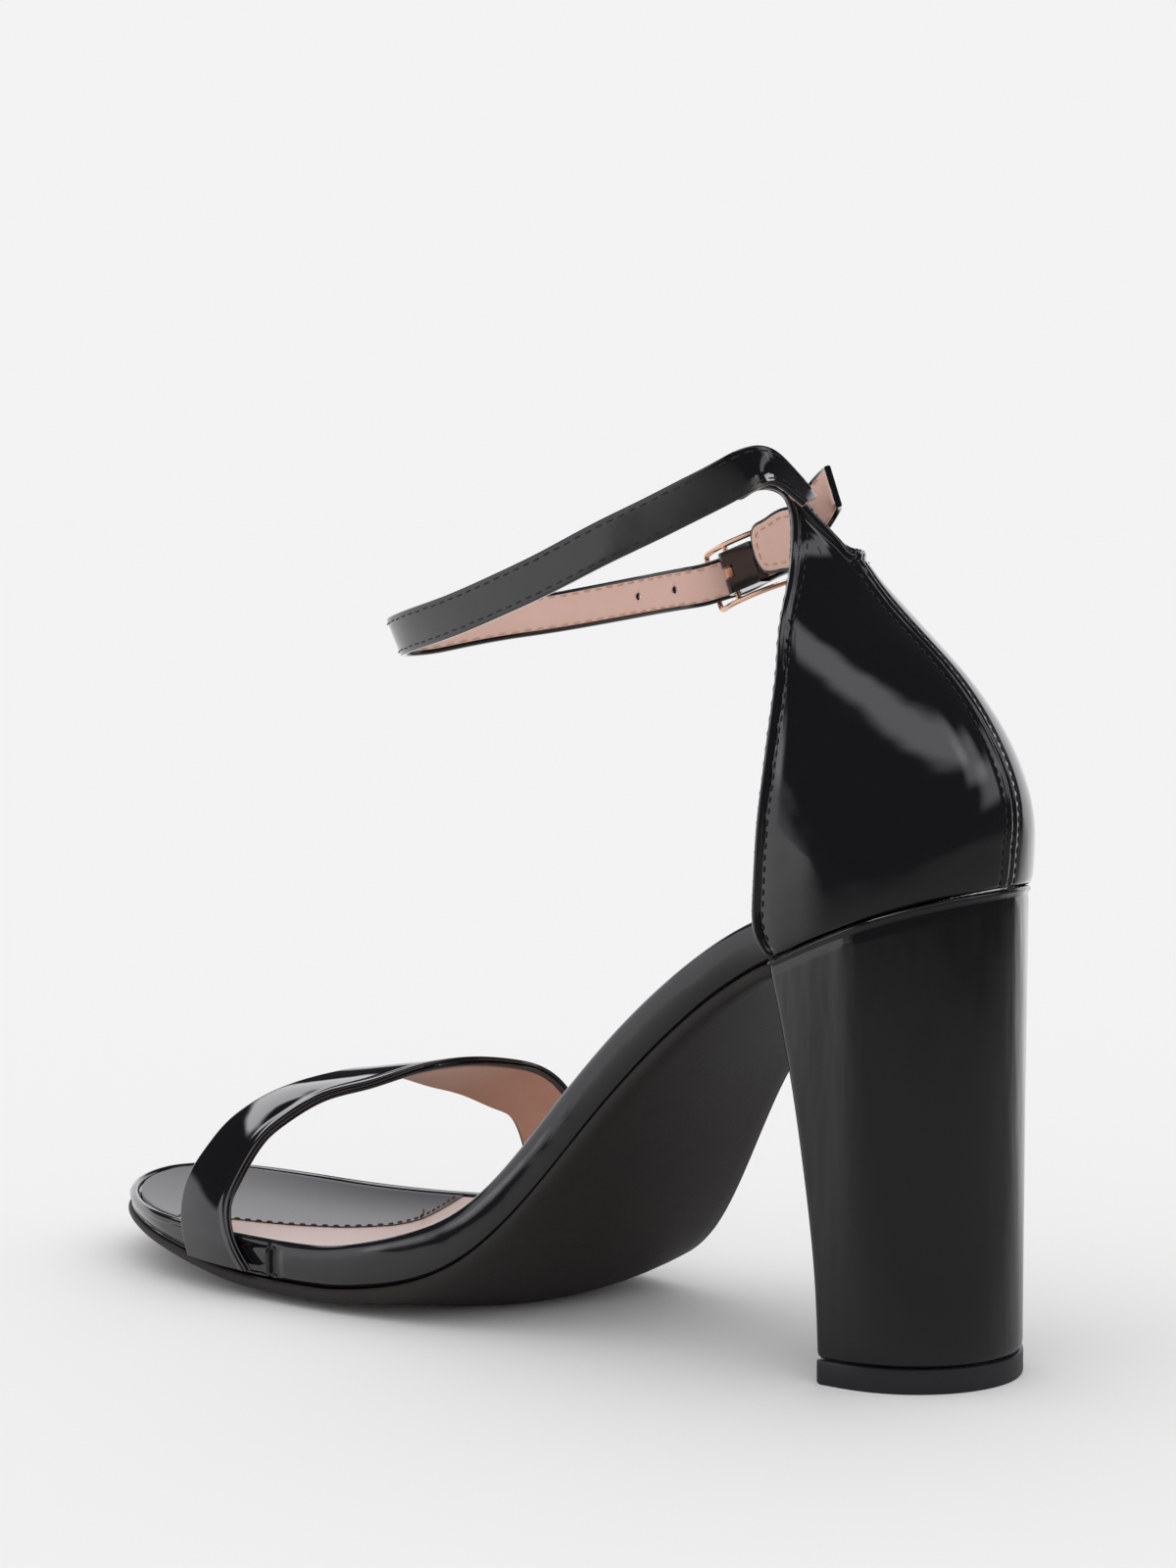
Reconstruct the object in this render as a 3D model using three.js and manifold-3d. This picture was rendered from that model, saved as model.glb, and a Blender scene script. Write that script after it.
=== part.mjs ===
import * as THREE from 'three'
import { mergeVertices } from 'three/addons/utils/BufferGeometryUtils.js'
import Module from 'manifold-3d'

const wasm = await Module()
wasm.setup()

// Main sizes of the shoe in millimetres
const shoeLength = 226 // back of the counter to the end of the toes; the sole runs 3% past it
const ballWidth = 76 // widest part of the footbed, across the ball
const seatHeight = 105 // floor to the footbed at the back of the heel
const heelSetback = 15.1 // back of the counter to the middle of the heel tip

// Layers of the sole, measured square to the footbed
const gap = 0.35 // room left between neighbouring pieces
const sockThickness = 0.8
const rimDepth = 1.15 // how deep the sock sits inside the rim of the wrapped footbed
const footbedDepth = 8.2
const outsoleThickness = 2.7
const coverStep = 1 // height of the cut edge where the thick cover of the rim starts
const coverEdge = 0.65 // share of the length where that edge crosses the middle
const tipHeight = 4.9 // top piece under the heel

// Walls and straps
const counterWall = 1.8
const vampThickness = 1.8
const vampRim = 0.6 // extra thickness of the folded rear edge
const strapWidth = 8.8
const strapThickness = 1.6
const holeRadius = 1

// Buckle
const buckleLength = 24
const buckleHeight = 13.4
const wireRadius = 0.6
const barRadius = 0.6
const buckleBow = 3.4 // how far the two ends stand out past the middle
const loopWall = 0.85
const loopLength = 9.2
const loopHeight = 8.9
const tongueRadius = 0.6
const eyeWidth = 1.8

// Footbed along the length: rise at the middle, crown is how much the edges stand above it
// and lip how much more the medial edge does, medial and lateral are half widths. at is a
// share of shoeLength, rise, crown and lip of seatHeight, widths of ballWidth
const footRows = [
  { at: -0.02, rise: 1.021, crown: 0.003, lip: 0, medial: 0.289, lateral: 0.347 },
  { at: 0.026, rise: 1, crown: 0.003, lip: 0, medial: 0.291, lateral: 0.349 },
  { at: 0.061, rise: 0.977, crown: 0.003, lip: 0, medial: 0.291, lateral: 0.35 },
  { at: 0.11, rise: 0.939, crown: 0.003, lip: 0, medial: 0.291, lateral: 0.35 },
  { at: 0.15, rise: 0.903, crown: 0.004, lip: 0, medial: 0.29, lateral: 0.345 },
  { at: 0.185, rise: 0.867, crown: 0.006, lip: 0, medial: 0.287, lateral: 0.34 },
  { at: 0.22, rise: 0.828, crown: 0.01, lip: 0, medial: 0.283, lateral: 0.349 },
  { at: 0.304, rise: 0.686, crown: 0.019, lip: 0.003, medial: 0.291, lateral: 0.376 },
  { at: 0.389, rise: 0.461, crown: 0.029, lip: 0.002, medial: 0.311, lateral: 0.39 },
  { at: 0.477, rise: 0.168, crown: 0.044, lip: 0, medial: 0.376, lateral: 0.432 },
  { at: 0.557, rise: 0.1, crown: 0.038, lip: 0.034, medial: 0.45, lateral: 0.495 },
  { at: 0.636, rise: 0.104, crown: 0.026, lip: 0.016, medial: 0.483, lateral: 0.478 },
  { at: 0.747, rise: 0.11, crown: 0.02, lip: 0.002, medial: 0.48, lateral: 0.369 },
  { at: 0.835, rise: 0.117, crown: 0.017, lip: 0, medial: 0.463, lateral: 0.32 },
  { at: 0.911, rise: 0.126, crown: 0.013, lip: 0, medial: 0.418, lateral: 0.305 },
  { at: 1.03, rise: 0.145, crown: 0.008, lip: 0, medial: 0.33, lateral: 0.335 }
]
const footEnds = { back: 0.0186, backTurn: 0.135, toeTurn: 0.87, tip: 1.032, tipOut: -0.05 }
// The sole gets thinner towards the toe: where it starts and ends, and the share that is lost
const toeThinning = { from: 0.73, to: 0.97, footbed: 0.72, outsole: 0.45 }
const lipKept = 0.4 // share of the lip that is left at the underside of the sole
const footHeelEnd = 0.1855 // the outsole starts here, ahead of the heel
const ballTurn = 0.33 // the ball line runs further forward on the medial side
const sideShift = 0.068 // rows of the footbed lean the same way

// Rounded edge of the wrapped footbed, from the rim round to its underside, in shares of
// footbedDepth, then the edges of the sock and the outsole in shares of their own thickness
const footbedRound = [
  { inset: 0.28, depth: 0.012 },
  { inset: 0.159, depth: -0.018 },
  { inset: 0.055, depth: 0.098 },
  { inset: 0, depth: 0.341 },
  { inset: 0, depth: 0.634 },
  { inset: 0.061, depth: 0.878 },
  { inset: 0.171, depth: 1 }
]
const sockRound = [
  { inset: 0.375, depth: 0 },
  { inset: 0, depth: 0.25 },
  { inset: 0, depth: 1 }
]
const outsoleRound = [
  { inset: 0.333, depth: 0 },
  { inset: 0.185, depth: 0.185 },
  { inset: 0.185, depth: 0.815 },
  { inset: 0.407, depth: 1 }
]
const rimWidth = 0.354 * footbedDepth // from the outer edge in to the sock
const outsoleTop = footbedDepth + gap
const edgeOf = (rows, size, inset, top) =>
  rows.map(row => ({ inset: inset + row.inset * size, depth: top + row.depth * size }))
const footbedEdge = [
  { inset: rimWidth, depth: rimDepth },
  { inset: 0.9 * rimWidth, depth: 0.9 * rimDepth },
  ...edgeOf(footbedRound, footbedDepth, 0, 0)
]
const sockEdge = edgeOf(sockRound, sockThickness, rimWidth + gap, 0)
const outsoleEdge = edgeOf(outsoleRound, outsoleThickness, 0, outsoleTop)

// Heel block from its top down. back and front are shares of shoeLength, widths of ballWidth,
// nose is how long the rounded back is, as a share of shoeLength
const heelRows = [
  { down: 0, back: 0.006, front: 0.183, medial: 0.31, lateral: 0.36, nose: 0.105 },
  { down: 0.33, back: 0.004, front: 0.16, medial: 0.305, lateral: 0.333, nose: 0.106 },
  { down: 0.56, back: 0.003, front: 0.1475, medial: 0.301, lateral: 0.314, nose: 0.105 },
  { down: 0.83, back: 0.001, front: 0.136, medial: 0.3, lateral: 0.29, nose: 0.106 },
  { down: 1, back: 0.001, front: 0.133, medial: 0.3, lateral: 0.286, nose: 0.105 }
]
const heelChamfer = 0.9
const tipFlare = 0.35

// Counter from its lower edge up, as level sections: back is the middle of the heel curve,
// drop the slope of the section down to the front. up is a share of seatHeight
const counterRows = [
  { lift: 0, up: 0.93, back: 0.006, drop: 0.37 },
  { lift: 1, up: 1.01, back: 0, drop: 0.3 },
  { lift: 2, up: 1.105, back: 0.002, drop: 0.22 },
  { lift: 3, up: 1.22, back: 0.0265, drop: 0.12 },
  { lift: 4, up: 1.333, back: 0.069, drop: 0.05 },
  { lift: 5, up: 1.438, back: 0.123, drop: 0 },
  { lift: 6, up: 1.543, back: 0.163, drop: 0 },
  { lift: 7, up: 1.638, back: 0.176, drop: 0 },
  { lift: 8, up: 1.76, back: 0.181, drop: 0 }
]
// Each side of the counter: half width, how long the rounded back is, and how far it reaches
// ahead before the edge is cut
const medialRows = [
  { lift: 0, half: 0.324, nose: 0.137, ahead: 0.22 },
  { lift: 1, half: 0.332, nose: 0.144, ahead: 0.22 },
  { lift: 2, half: 0.334, nose: 0.177, ahead: 0.22 },
  { lift: 3, half: 0.324, nose: 0.2, ahead: 0.22 },
  { lift: 4, half: 0.297, nose: 0.177, ahead: 0.225 },
  { lift: 5, half: 0.26, nose: 0.146, ahead: 0.25 },
  { lift: 6, half: 0.217, nose: 0.15, ahead: 0.27 },
  { lift: 7, half: 0.184, nose: 0.12, ahead: 0.28 },
  { lift: 8, half: 0.17, nose: 0.115, ahead: 0.285 }
]
const lateralRows = [
  { lift: 0, half: 0.373, nose: 0.11, ahead: 0.22 },
  { lift: 1, half: 0.38, nose: 0.117, ahead: 0.22 },
  { lift: 2, half: 0.378, nose: 0.148, ahead: 0.22 },
  { lift: 3, half: 0.356, nose: 0.158, ahead: 0.24 },
  { lift: 4, half: 0.282, nose: 0.13, ahead: 0.28 },
  { lift: 5, half: 0.224, nose: 0.088, ahead: 0.33 },
  { lift: 6, half: 0.196, nose: 0.12, ahead: 0.345 },
  { lift: 7, half: 0.19, nose: 0.12, ahead: 0.345 },
  { lift: 8, half: 0.186, nose: 0.115, ahead: 0.345 }
]
// Cut edge of each quarter in side view, from the lower front corner up and back to the seam
const medialCut = [
  { at: 0.18, up: 0.6 },
  { at: 0.18, up: 0.724 },
  { at: 0.183, up: 0.77 },
  { at: 0.189, up: 0.8 },
  { at: 0.193, up: 0.838 },
  { at: 0.1935, up: 0.92 },
  { at: 0.19, up: 1.03 },
  { at: 0.186, up: 1.124 },
  { at: 0.184, up: 1.2 },
  { at: 0.183, up: 1.314 },
  { at: 0.187, up: 1.39 },
  { at: 0.1925, up: 1.476 },
  { at: 0.198, up: 1.533 },
  { at: 0.202, up: 1.586 },
  { at: 0.2045, up: 1.617 },
  { at: 0.211, up: 1.646 },
  { at: 0.222, up: 1.657 },
  { at: 0.236, up: 1.652 },
  { at: 0.2495, up: 1.64 },
  { at: 0.254, up: 1.682 },
  { at: 0.238, up: 1.69 },
  { at: 0.213, up: 1.68 },
  { at: 0.196, up: 1.648 },
  { at: 0.187, up: 1.62 },
  { at: 0.177, up: 1.59 },
  { at: 0.164, up: 1.545 }
]
const lateralCut = [
  { at: 0.18, up: 0.6 },
  { at: 0.18, up: 0.724 },
  { at: 0.183, up: 0.77 },
  { at: 0.188, up: 0.8 },
  { at: 0.191, up: 0.838 },
  { at: 0.192, up: 0.924 },
  { at: 0.19, up: 1.03 },
  { at: 0.189, up: 1.124 },
  { at: 0.189, up: 1.22 },
  { at: 0.193, up: 1.305 },
  { at: 0.2035, up: 1.38 },
  { at: 0.225, up: 1.448 },
  { at: 0.2535, up: 1.486 },
  { at: 0.282, up: 1.498 },
  { at: 0.306, up: 1.497 },
  { at: 0.3165, up: 1.576 },
  { at: 0.305, up: 1.5955 },
  { at: 0.2945, up: 1.608 },
  { at: 0.2835, up: 1.618 },
  { at: 0.272, up: 1.622 },
  { at: 0.2595, up: 1.617 },
  { at: 0.246, up: 1.6045 },
  { at: 0.232, up: 1.586 },
  { at: 0.215, up: 1.5645 },
  { at: 0.198, up: 1.549 },
  { at: 0.18, up: 1.545 },
  { at: 0.164, up: 1.545 }
]

// Vamp strap from its medial end over the foot to its lateral end: rear edge, then front edge
const vampRows = [
  { rearAt: 0.74, rearOut: 0.499, rearUp: 0.062, foreAt: 0.824, foreOut: 0.482, foreUp: 0.07 },
  { rearAt: 0.76, rearOut: 0.497, rearUp: 0.119, foreAt: 0.833, foreOut: 0.479, foreUp: 0.129 },
  { rearAt: 0.774, rearOut: 0.4703, rearUp: 0.1796, foreAt: 0.841, foreOut: 0.4495, foreUp: 0.1831 },
  { rearAt: 0.776, rearOut: 0.4308, rearUp: 0.2213, foreAt: 0.839, foreOut: 0.418, foreUp: 0.2373 },
  { rearAt: 0.773, rearOut: 0.3852, rearUp: 0.2676, foreAt: 0.829, foreOut: 0.3725, foreUp: 0.2927 },
  { rearAt: 0.768, rearOut: 0.3296, rearUp: 0.3139, foreAt: 0.818, foreOut: 0.3214, foreUp: 0.3395 },
  { rearAt: 0.758, rearOut: 0.2608, rearUp: 0.3491, foreAt: 0.799, foreOut: 0.251, foreUp: 0.3833 },
  { rearAt: 0.738, rearOut: 0.1606, rearUp: 0.3903, foreAt: 0.776, foreOut: 0.1579, foreUp: 0.4141 },
  { rearAt: 0.714, rearOut: 0.0493, rearUp: 0.4109, foreAt: 0.757, foreOut: 0.0414, foreUp: 0.4285 },
  { rearAt: 0.687, rearOut: -0.0606, rearUp: 0.4395, foreAt: 0.749, foreOut: -0.0659, foreUp: 0.4264 },
  { rearAt: 0.656, rearOut: -0.1761, rearUp: 0.454, foreAt: 0.742, foreOut: -0.1673, foreUp: 0.4105 },
  { rearAt: 0.63, rearOut: -0.2792, rearUp: 0.4472, foreAt: 0.731, foreOut: -0.2525, foreUp: 0.3856 },
  { rearAt: 0.61, rearOut: -0.3636, rearUp: 0.4266, foreAt: 0.711, foreOut: -0.3264, foreUp: 0.364 },
  { rearAt: 0.599, rearOut: -0.4341, rearUp: 0.3796, foreAt: 0.686, foreOut: -0.3873, foreUp: 0.3333 },
  { rearAt: 0.592, rearOut: -0.4808, rearUp: 0.3063, foreAt: 0.666, foreOut: -0.4357, foreUp: 0.2971 },
  { rearAt: 0.5905, rearOut: -0.5, rearUp: 0.21, foreAt: 0.657, foreOut: -0.47, foreUp: 0.19 },
  { rearAt: 0.594, rearOut: -0.511, rearUp: 0.133, foreAt: 0.657, foreOut: -0.484, foreUp: 0.119 },
  { rearAt: 0.599, rearOut: -0.512, rearUp: 0.057, foreAt: 0.661, foreOut: -0.487, foreUp: 0.057 }
]

// Ankle strap from its free tip through the buckle, round the front of the ankle and back to
// the medial quarter. lean is how far the upper edge tips outwards, in degrees
const strapRows = [
  { at: 0.2286, out: -0.1859, up: 1.6612, lean: -16 },
  { at: 0.2438, out: -0.2246, up: 1.6474, lean: -19 },
  { at: 0.261, out: -0.2216, up: 1.5942, lean: -4 },
  { at: 0.285, out: -0.239, up: 1.543, lean: -2 },
  { at: 0.309, out: -0.268, up: 1.523, lean: 0 },
  { at: 0.3265, out: -0.2785, up: 1.51, lean: 0 },
  { at: 0.3505, out: -0.2815, up: 1.488, lean: 0 },
  { at: 0.368, out: -0.257, up: 1.475, lean: 0 },
  { at: 0.3825, out: -0.2345, up: 1.464, lean: 0 },
  { at: 0.3995, out: -0.226, up: 1.457, lean: 0 },
  { at: 0.424, out: -0.237, up: 1.449, lean: 2 },
  { at: 0.4595, out: -0.254, up: 1.437, lean: 4 },
  { at: 0.5125, out: -0.25, up: 1.417, lean: 8 },
  { at: 0.5655, out: -0.218, up: 1.397, lean: 12 },
  { at: 0.61, out: -0.171, up: 1.381, lean: 16 },
  { at: 0.645, out: -0.11, up: 1.364, lean: 20 },
  { at: 0.667, out: -0.053, up: 1.352, lean: 23 },
  { at: 0.6775, out: 0.0066, up: 1.349, lean: 24 },
  { at: 0.672, out: 0.066, up: 1.3505, lean: 22 },
  { at: 0.6495, out: 0.126, up: 1.36, lean: 16 },
  { at: 0.614, out: 0.175, up: 1.377, lean: 10 },
  { at: 0.5654, out: 0.2108, up: 1.403, lean: 4 },
  { at: 0.5036, out: 0.237, up: 1.4455, lean: 2 },
  { at: 0.4419, out: 0.2454, up: 1.4954, lean: 1 },
  { at: 0.3809, out: 0.2421, up: 1.5525, lean: 4 },
  { at: 0.3274, out: 0.2325, up: 1.6003, lean: 8 },
  { at: 0.2828, out: 0.2264, up: 1.6413, lean: 13 },
  { at: 0.2479, out: 0.2156, up: 1.6753, lean: 13 },
  { at: 0.222, out: 0.1987, up: 1.6986, lean: -7 },
  { at: 0.2058, out: 0.1714, up: 1.692, lean: -52 },
  { at: 0.1916, out: 0.1439, up: 1.6627, lean: -70 },
  { at: 0.1813, out: 0.1273, up: 1.6355, lean: -80 }
]
const holeShares = [0.263, 0.3115, 0.4145, 0.463]
const buckle = { at: 0.3335, out: -0.2275, up: 1.503, rise: 20, bar: -4.2 }

// Samples
const turnSteps = 8
const footSpans = [{ to: 0.39, steps: 6 }, { to: 0.6, steps: 11 }]
const toeSteps = 5
const crossSteps = 6
const counterLevels = 17
const counterSteps = 11
const vampSteps = 44
const vampCross = 5
const strapSteps = 84

const along = at => at * shoeLength - heelSetback
const across = out => out * ballWidth
const above = up => up * seatHeight
const mix = (a, b, t) => a + (b - a) * t
const rad = THREE.MathUtils.degToRad
const ease = THREE.MathUtils.smoothstep

// A smooth curve through one column of a table
function smooth(rows, key, column) {
  const x = rows.map(row => row[key])
  const y = rows.map(row => row[column])
  const count = x.length
  const bend = new Array(count).fill(0)
  const carry = new Array(count).fill(0)
  for (let i = 1; i < count - 1; i++) {
    const share = (x[i] - x[i - 1]) / (x[i + 1] - x[i - 1])
    const pivot = share * bend[i - 1] + 2
    const turn = (y[i + 1] - y[i]) / (x[i + 1] - x[i]) - (y[i] - y[i - 1]) / (x[i] - x[i - 1])
    bend[i] = (share - 1) / pivot
    carry[i] = (6 * turn / (x[i + 1] - x[i - 1]) - share * carry[i - 1]) / pivot
  }
  bend[count - 1] = 0
  for (let i = count - 2; i > 0; i--) bend[i] = bend[i] * bend[i + 1] + carry[i]
  bend[0] = 0
  return value => {
    let i = 0
    while (i < count - 2 && value > x[i + 1]) i++
    const width = x[i + 1] - x[i]
    const a = (x[i + 1] - value) / width
    const b = (value - x[i]) / width
    const curve = (a * a * a - a) * bend[i] + (b * b * b - b) * bend[i + 1]
    return a * y[i] + b * y[i + 1] + curve * width * width / 6
  }
}

function columns(rows, key) {
  const names = Object.keys(rows[0]).filter(name => name !== key)
  const curves = names.map(name => smooth(rows, key, name))
  return value => Object.fromEntries(names.map((name, i) => [name, curves[i](value)]))
}

// Closed bodies from triangles, always facing outwards
function body(triangles) {
  let volume = 0
  for (const [a, b, c] of triangles) volume += a.dot(b.clone().cross(c))
  const corners = []
  for (const [a, b, c] of triangles) {
    if (volume > 0) corners.push(a, b, c)
    else corners.push(a, c, b)
  }
  return new THREE.BufferGeometry().setFromPoints(corners)
}

function quad(list, a, b, c, d) {
  const shared = [[a, b], [b, c], [c, d], [d, a]].filter(([p, q]) => p.distanceTo(q) < 1e-6)
  if (shared.length > 1) return
  if (a.distanceTo(b) > 1e-6 && b.distanceTo(c) > 1e-6) list.push([a, b, c])
  if (c.distanceTo(d) > 1e-6 && d.distanceTo(a) > 1e-6) list.push([a, c, d])
}

// Levels of the same rows, stacked: the first and last are closed over, the rims are walled
function stacked(levels) {
  const list = []
  const cover = (rows, flip) => {
    for (let i = 0; i < rows.length - 1; i++) {
      for (let j = 0; j < rows[i].length - 1; j++) {
        const [near, far] = [rows[i], rows[i + 1]]
        if (flip) quad(list, far[j + 1], near[j + 1], near[j], far[j])
        else quad(list, near[j], near[j + 1], far[j + 1], far[j])
      }
    }
  }
  const rim = rows => {
    const last = rows[0].length - 1
    const end = rows.length - 1
    const loop = [...rows[0].slice(0, last)]
    for (let i = 0; i < end; i++) loop.push(rows[i][last])
    for (let j = last; j > 0; j--) loop.push(rows[end][j])
    for (let i = end; i > 0; i--) loop.push(rows[i][0])
    return loop
  }
  cover(levels[0], false)
  cover(levels[levels.length - 1], true)
  const rims = levels.map(rim)
  for (let k = 0; k < rims.length - 1; k++) {
    const upper = rims[k]
    const lower = rims[k + 1]
    for (let i = 0; i < upper.length; i++) {
      const next = (i + 1) % upper.length
      quad(list, upper[next], upper[i], lower[i], lower[next])
    }
  }
  return body(list)
}

// Rings of the same count, joined end to end
function swept(rings) {
  const list = []
  const count = rings[0].length
  for (let i = 0; i < rings.length - 1; i++) {
    for (let j = 0; j < count; j++) {
      const k = (j + 1) % count
      quad(list, rings[i][j], rings[i][k], rings[i + 1][k], rings[i + 1][j])
    }
  }
  for (const [ring, flip] of [[rings[0], true], [rings[rings.length - 1], false]]) {
    const middle = ring.reduce((sum, p) => sum.add(p), new THREE.Vector3()).divideScalar(count)
    for (let j = 0; j < count; j++) {
      const pair = [ring[j], ring[(j + 1) % count]]
      if (flip) pair.reverse()
      list.push([middle, ...pair])
    }
  }
  return body(list)
}

function toSolid(geometry) {
  const bare = geometry.clone()
  bare.deleteAttribute('normal')
  bare.deleteAttribute('uv')
  const merged = mergeVertices(bare, 1e-4)
  const vertProperties = new Float32Array(merged.attributes.position.array)
  const triVerts = new Uint32Array(merged.index.array)
  return new wasm.Manifold(new wasm.Mesh({ numProp: 3, vertProperties, triVerts }))
}

function toGeometry(solid) {
  const mesh = solid.getMesh()
  const geometry = new THREE.BufferGeometry()
  geometry.setAttribute('position', new THREE.BufferAttribute(mesh.vertProperties, 3))
  geometry.setIndex(new THREE.BufferAttribute(mesh.triVerts, 1))
  return geometry
}

// Surface of the foot: a point at plan position x, y and a depth below the footbed
const foot = columns(footRows, 'at')

function footRise(x, y, depth) {
  const at = (x + heelSetback) / shoeLength
  const start = 1 / (1 + Math.exp((0.406 - at) / 0.053))
  const stop = 1 / (1 + Math.exp((at - 0.778) / 0.035))
  const turned = at - ballTurn * y * start * stop / shoeLength
  const here = foot(at)
  const half = across(y > 0 ? here.medial : here.lateral)
  const share = Math.min(1, Math.abs(y) / half)
  const lip = y > 0 ? here.lip * mix(1, lipKept, depth / (outsoleTop + outsoleThickness)) : 0
  return { z: above(foot(turned).rise + (here.crown + lip) * share * share), turned }
}

function thinned(x, depth) {
  const toe = ease(x, along(toeThinning.from), along(toeThinning.to))
  const core = Math.min(Math.max(0, depth - rimDepth), footbedDepth - rimDepth)
  const sole = Math.max(0, depth - outsoleTop)
  return depth - toe * (core * toeThinning.footbed + sole * toeThinning.outsole)
}

function onFoot(x, y, fullDepth) {
  const depth = thinned(x, fullDepth)
  const { z, turned } = footRise(x, y, fullDepth)
  const step = 0.004
  const fall = above(foot(turned - step).rise - foot(turned + step).rise) / (2 * step * shoeLength)
  const tilt = Math.atan(fall)
  const square = ease(x, along(0.17), along(0.28))
  const back = depth * Math.sin(tilt) * square
  const down = depth * mix(1 / Math.cos(tilt), Math.cos(tilt), square)
  return new THREE.Vector3(x - back, y, z - down)
}

function outlineOut(side, at) {
  const here = foot(at)
  const half = side > 0 ? here.medial : here.lateral
  if (at < footEnds.backTurn) {
    const share = (footEnds.backTurn - at) / (footEnds.backTurn - footEnds.back)
    return side * half * Math.sqrt(Math.max(0, 1 - share * share))
  }
  const share = Math.max(0, (at - footEnds.toeTurn) / (footEnds.tip - footEnds.toeTurn))
  const keep = Math.sqrt(Math.max(0, 1 - share * share))
  return share > 0 ? mix(footEnds.tipOut, side * half, keep) : side * half
}

// Stations from the back of the seat to the toe, closer together round both ends
function stations() {
  const list = []
  for (let i = 0; i < turnSteps; i++) {
    const angle = Math.PI / 2 * i / turnSteps
    list.push(mix(footEnds.backTurn, footEnds.back, Math.cos(angle)))
  }
  let from = footEnds.backTurn
  list.push(from)
  for (const { to, steps } of [...footSpans, { to: footEnds.toeTurn, steps: toeSteps }]) {
    for (let i = 1; i <= steps; i++) list.push(mix(from, to, i / steps))
    from = to
  }
  for (let i = 1; i <= turnSteps; i++) {
    const angle = Math.PI / 2 * i / turnSteps
    list.push(mix(footEnds.toeTurn, footEnds.tip, Math.sin(angle)))
  }
  const edge = [coverEdge - 0.001, coverEdge + 0.003]
  const clear = list.filter(at => Math.abs(at - coverEdge) > 0.009)
  return [...clear, ...edge].sort((a, b) => a - b)
}

const shift = at => sideShift * ease(at, 0.2, 0.6) * (1 - ease(at, 0.74, 0.97))

// Plan outline as pairs of points, medial and lateral, with their outward directions
function outlinePairs() {
  const list = stations()
  const sides = [1, -1].map(side => list.map(at => {
    const here = at + side * shift(at)
    return new THREE.Vector2(along(here), across(outlineOut(side, here)))
  }))
  return list.map((at, i) => {
    const ends = sides.map((points, k) => {
      const before = i > 0 ? points[i - 1] : sides[1 - k][1]
      const after = i < list.length - 1 ? points[i + 1] : sides[1 - k][list.length - 2]
      const run = after.clone().sub(before).normalize()
      const turn = k === 0 ? 1 : -1
      return { point: points[i], away: new THREE.Vector2(-run.y * turn, run.x * turn) }
    })
    return { at, ends }
  })
}

const pairs = outlinePairs()

// One layer of the sole between the levels of an edge table
function layer(edgeRows, stepped, floor) {
  const levels = edgeRows.map((edge, k) => pairs.map(({ at, ends }) => {
    const recess = stepped && k > 2 && at > coverEdge ? coverStep : 0
    const [medial, lateral] = ends.map(({ point, away }) =>
      point.clone().addScaledVector(away, -edge.inset - recess))
    const row = []
    for (let j = 0; j <= crossSteps; j++) {
      const plan = lateral.clone().lerp(medial, j / crossSteps)
      const point = onFoot(plan.x, plan.y, edge.depth)
      if (floor) point.z = Math.max(0, point.z)
      row.push(point)
    }
    return row
  }))
  return stacked(levels)
}

const seatLine = (x, y) => onFoot(x, y, footbedDepth + gap).z

// Heel sections
const heelSection = columns(heelRows, 'down')

function heelRowsAt(section, flare, height) {
  const straight = 4
  const round = 10
  const front = along(section.front) + flare
  const back = along(section.back) - flare
  const nose = section.nose * shoeLength
  const turn = back + nose
  const rows = []
  for (let i = 0; i <= straight + round; i++) {
    const angle = Math.PI / 2 * Math.max(0, i - straight) / round
    const run = i === 0 ? 0 : (i - 1) / (straight - 1)
    const x = i <= straight ? mix(front - (i ? heelChamfer : 0), turn, run) : turn - nose * Math.sin(angle)
    const keep = i <= straight ? 1 : Math.cos(angle)
    const corner = i === 0 ? heelChamfer : 0
    const medial = (across(section.medial) + flare) * keep - corner
    const lateral = -(across(section.lateral) + flare) * keep + corner
    const row = []
    for (let j = 0; j <= crossSteps; j++) {
      const y = i === straight + round ? 0 : mix(lateral, medial, j / crossSteps)
      row.push(new THREE.Vector3(x, y, height(x, y)))
    }
    rows.push(row)
  }
  return rows
}

function heelBlock() {
  const foundation = tipHeight + gap
  const levels = [0, 0.12, 0.33, 0.56, 0.8, 1].map(down => {
    const height = (x, y) => mix(seatLine(x, y), foundation, down)
    return heelRowsAt(heelSection(down), 0, height)
  })
  return stacked(levels)
}

function heelTip() {
  const section = heelSection(1)
  const levels = [[0, tipHeight], [tipFlare, tipHeight - 0.3], [tipFlare, 0.4], [0, 0]]
  return stacked(levels.map(([flare, z]) => heelRowsAt(section, flare, () => z)))
}

// Outer surface of the counter, then its wall and the cut edges
const counterSection = columns(counterRows, 'lift')
const medialSection = columns(medialRows, 'lift')
const lateralSection = columns(lateralRows, 'lift')

function counterPoint(side, share, lift) {
  const row = counterSection(lift)
  const flank = side > 0 ? medialSection(lift) : lateralSection(lift)
  const back = along(row.back)
  const x = mix(back, along(flank.ahead), share * share)
  const inside = Math.min(1, (x - back) / (flank.nose * shoeLength))
  const y = side * across(flank.half) * Math.sqrt(1 - (1 - inside) * (1 - inside))
  const level = above(row.up) - row.drop * (x - back)
  const seat = seatLine(x, y) + gap
  return new THREE.Vector3(x, y, mix(seat, level, ease(lift, 0, 1)))
}

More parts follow.
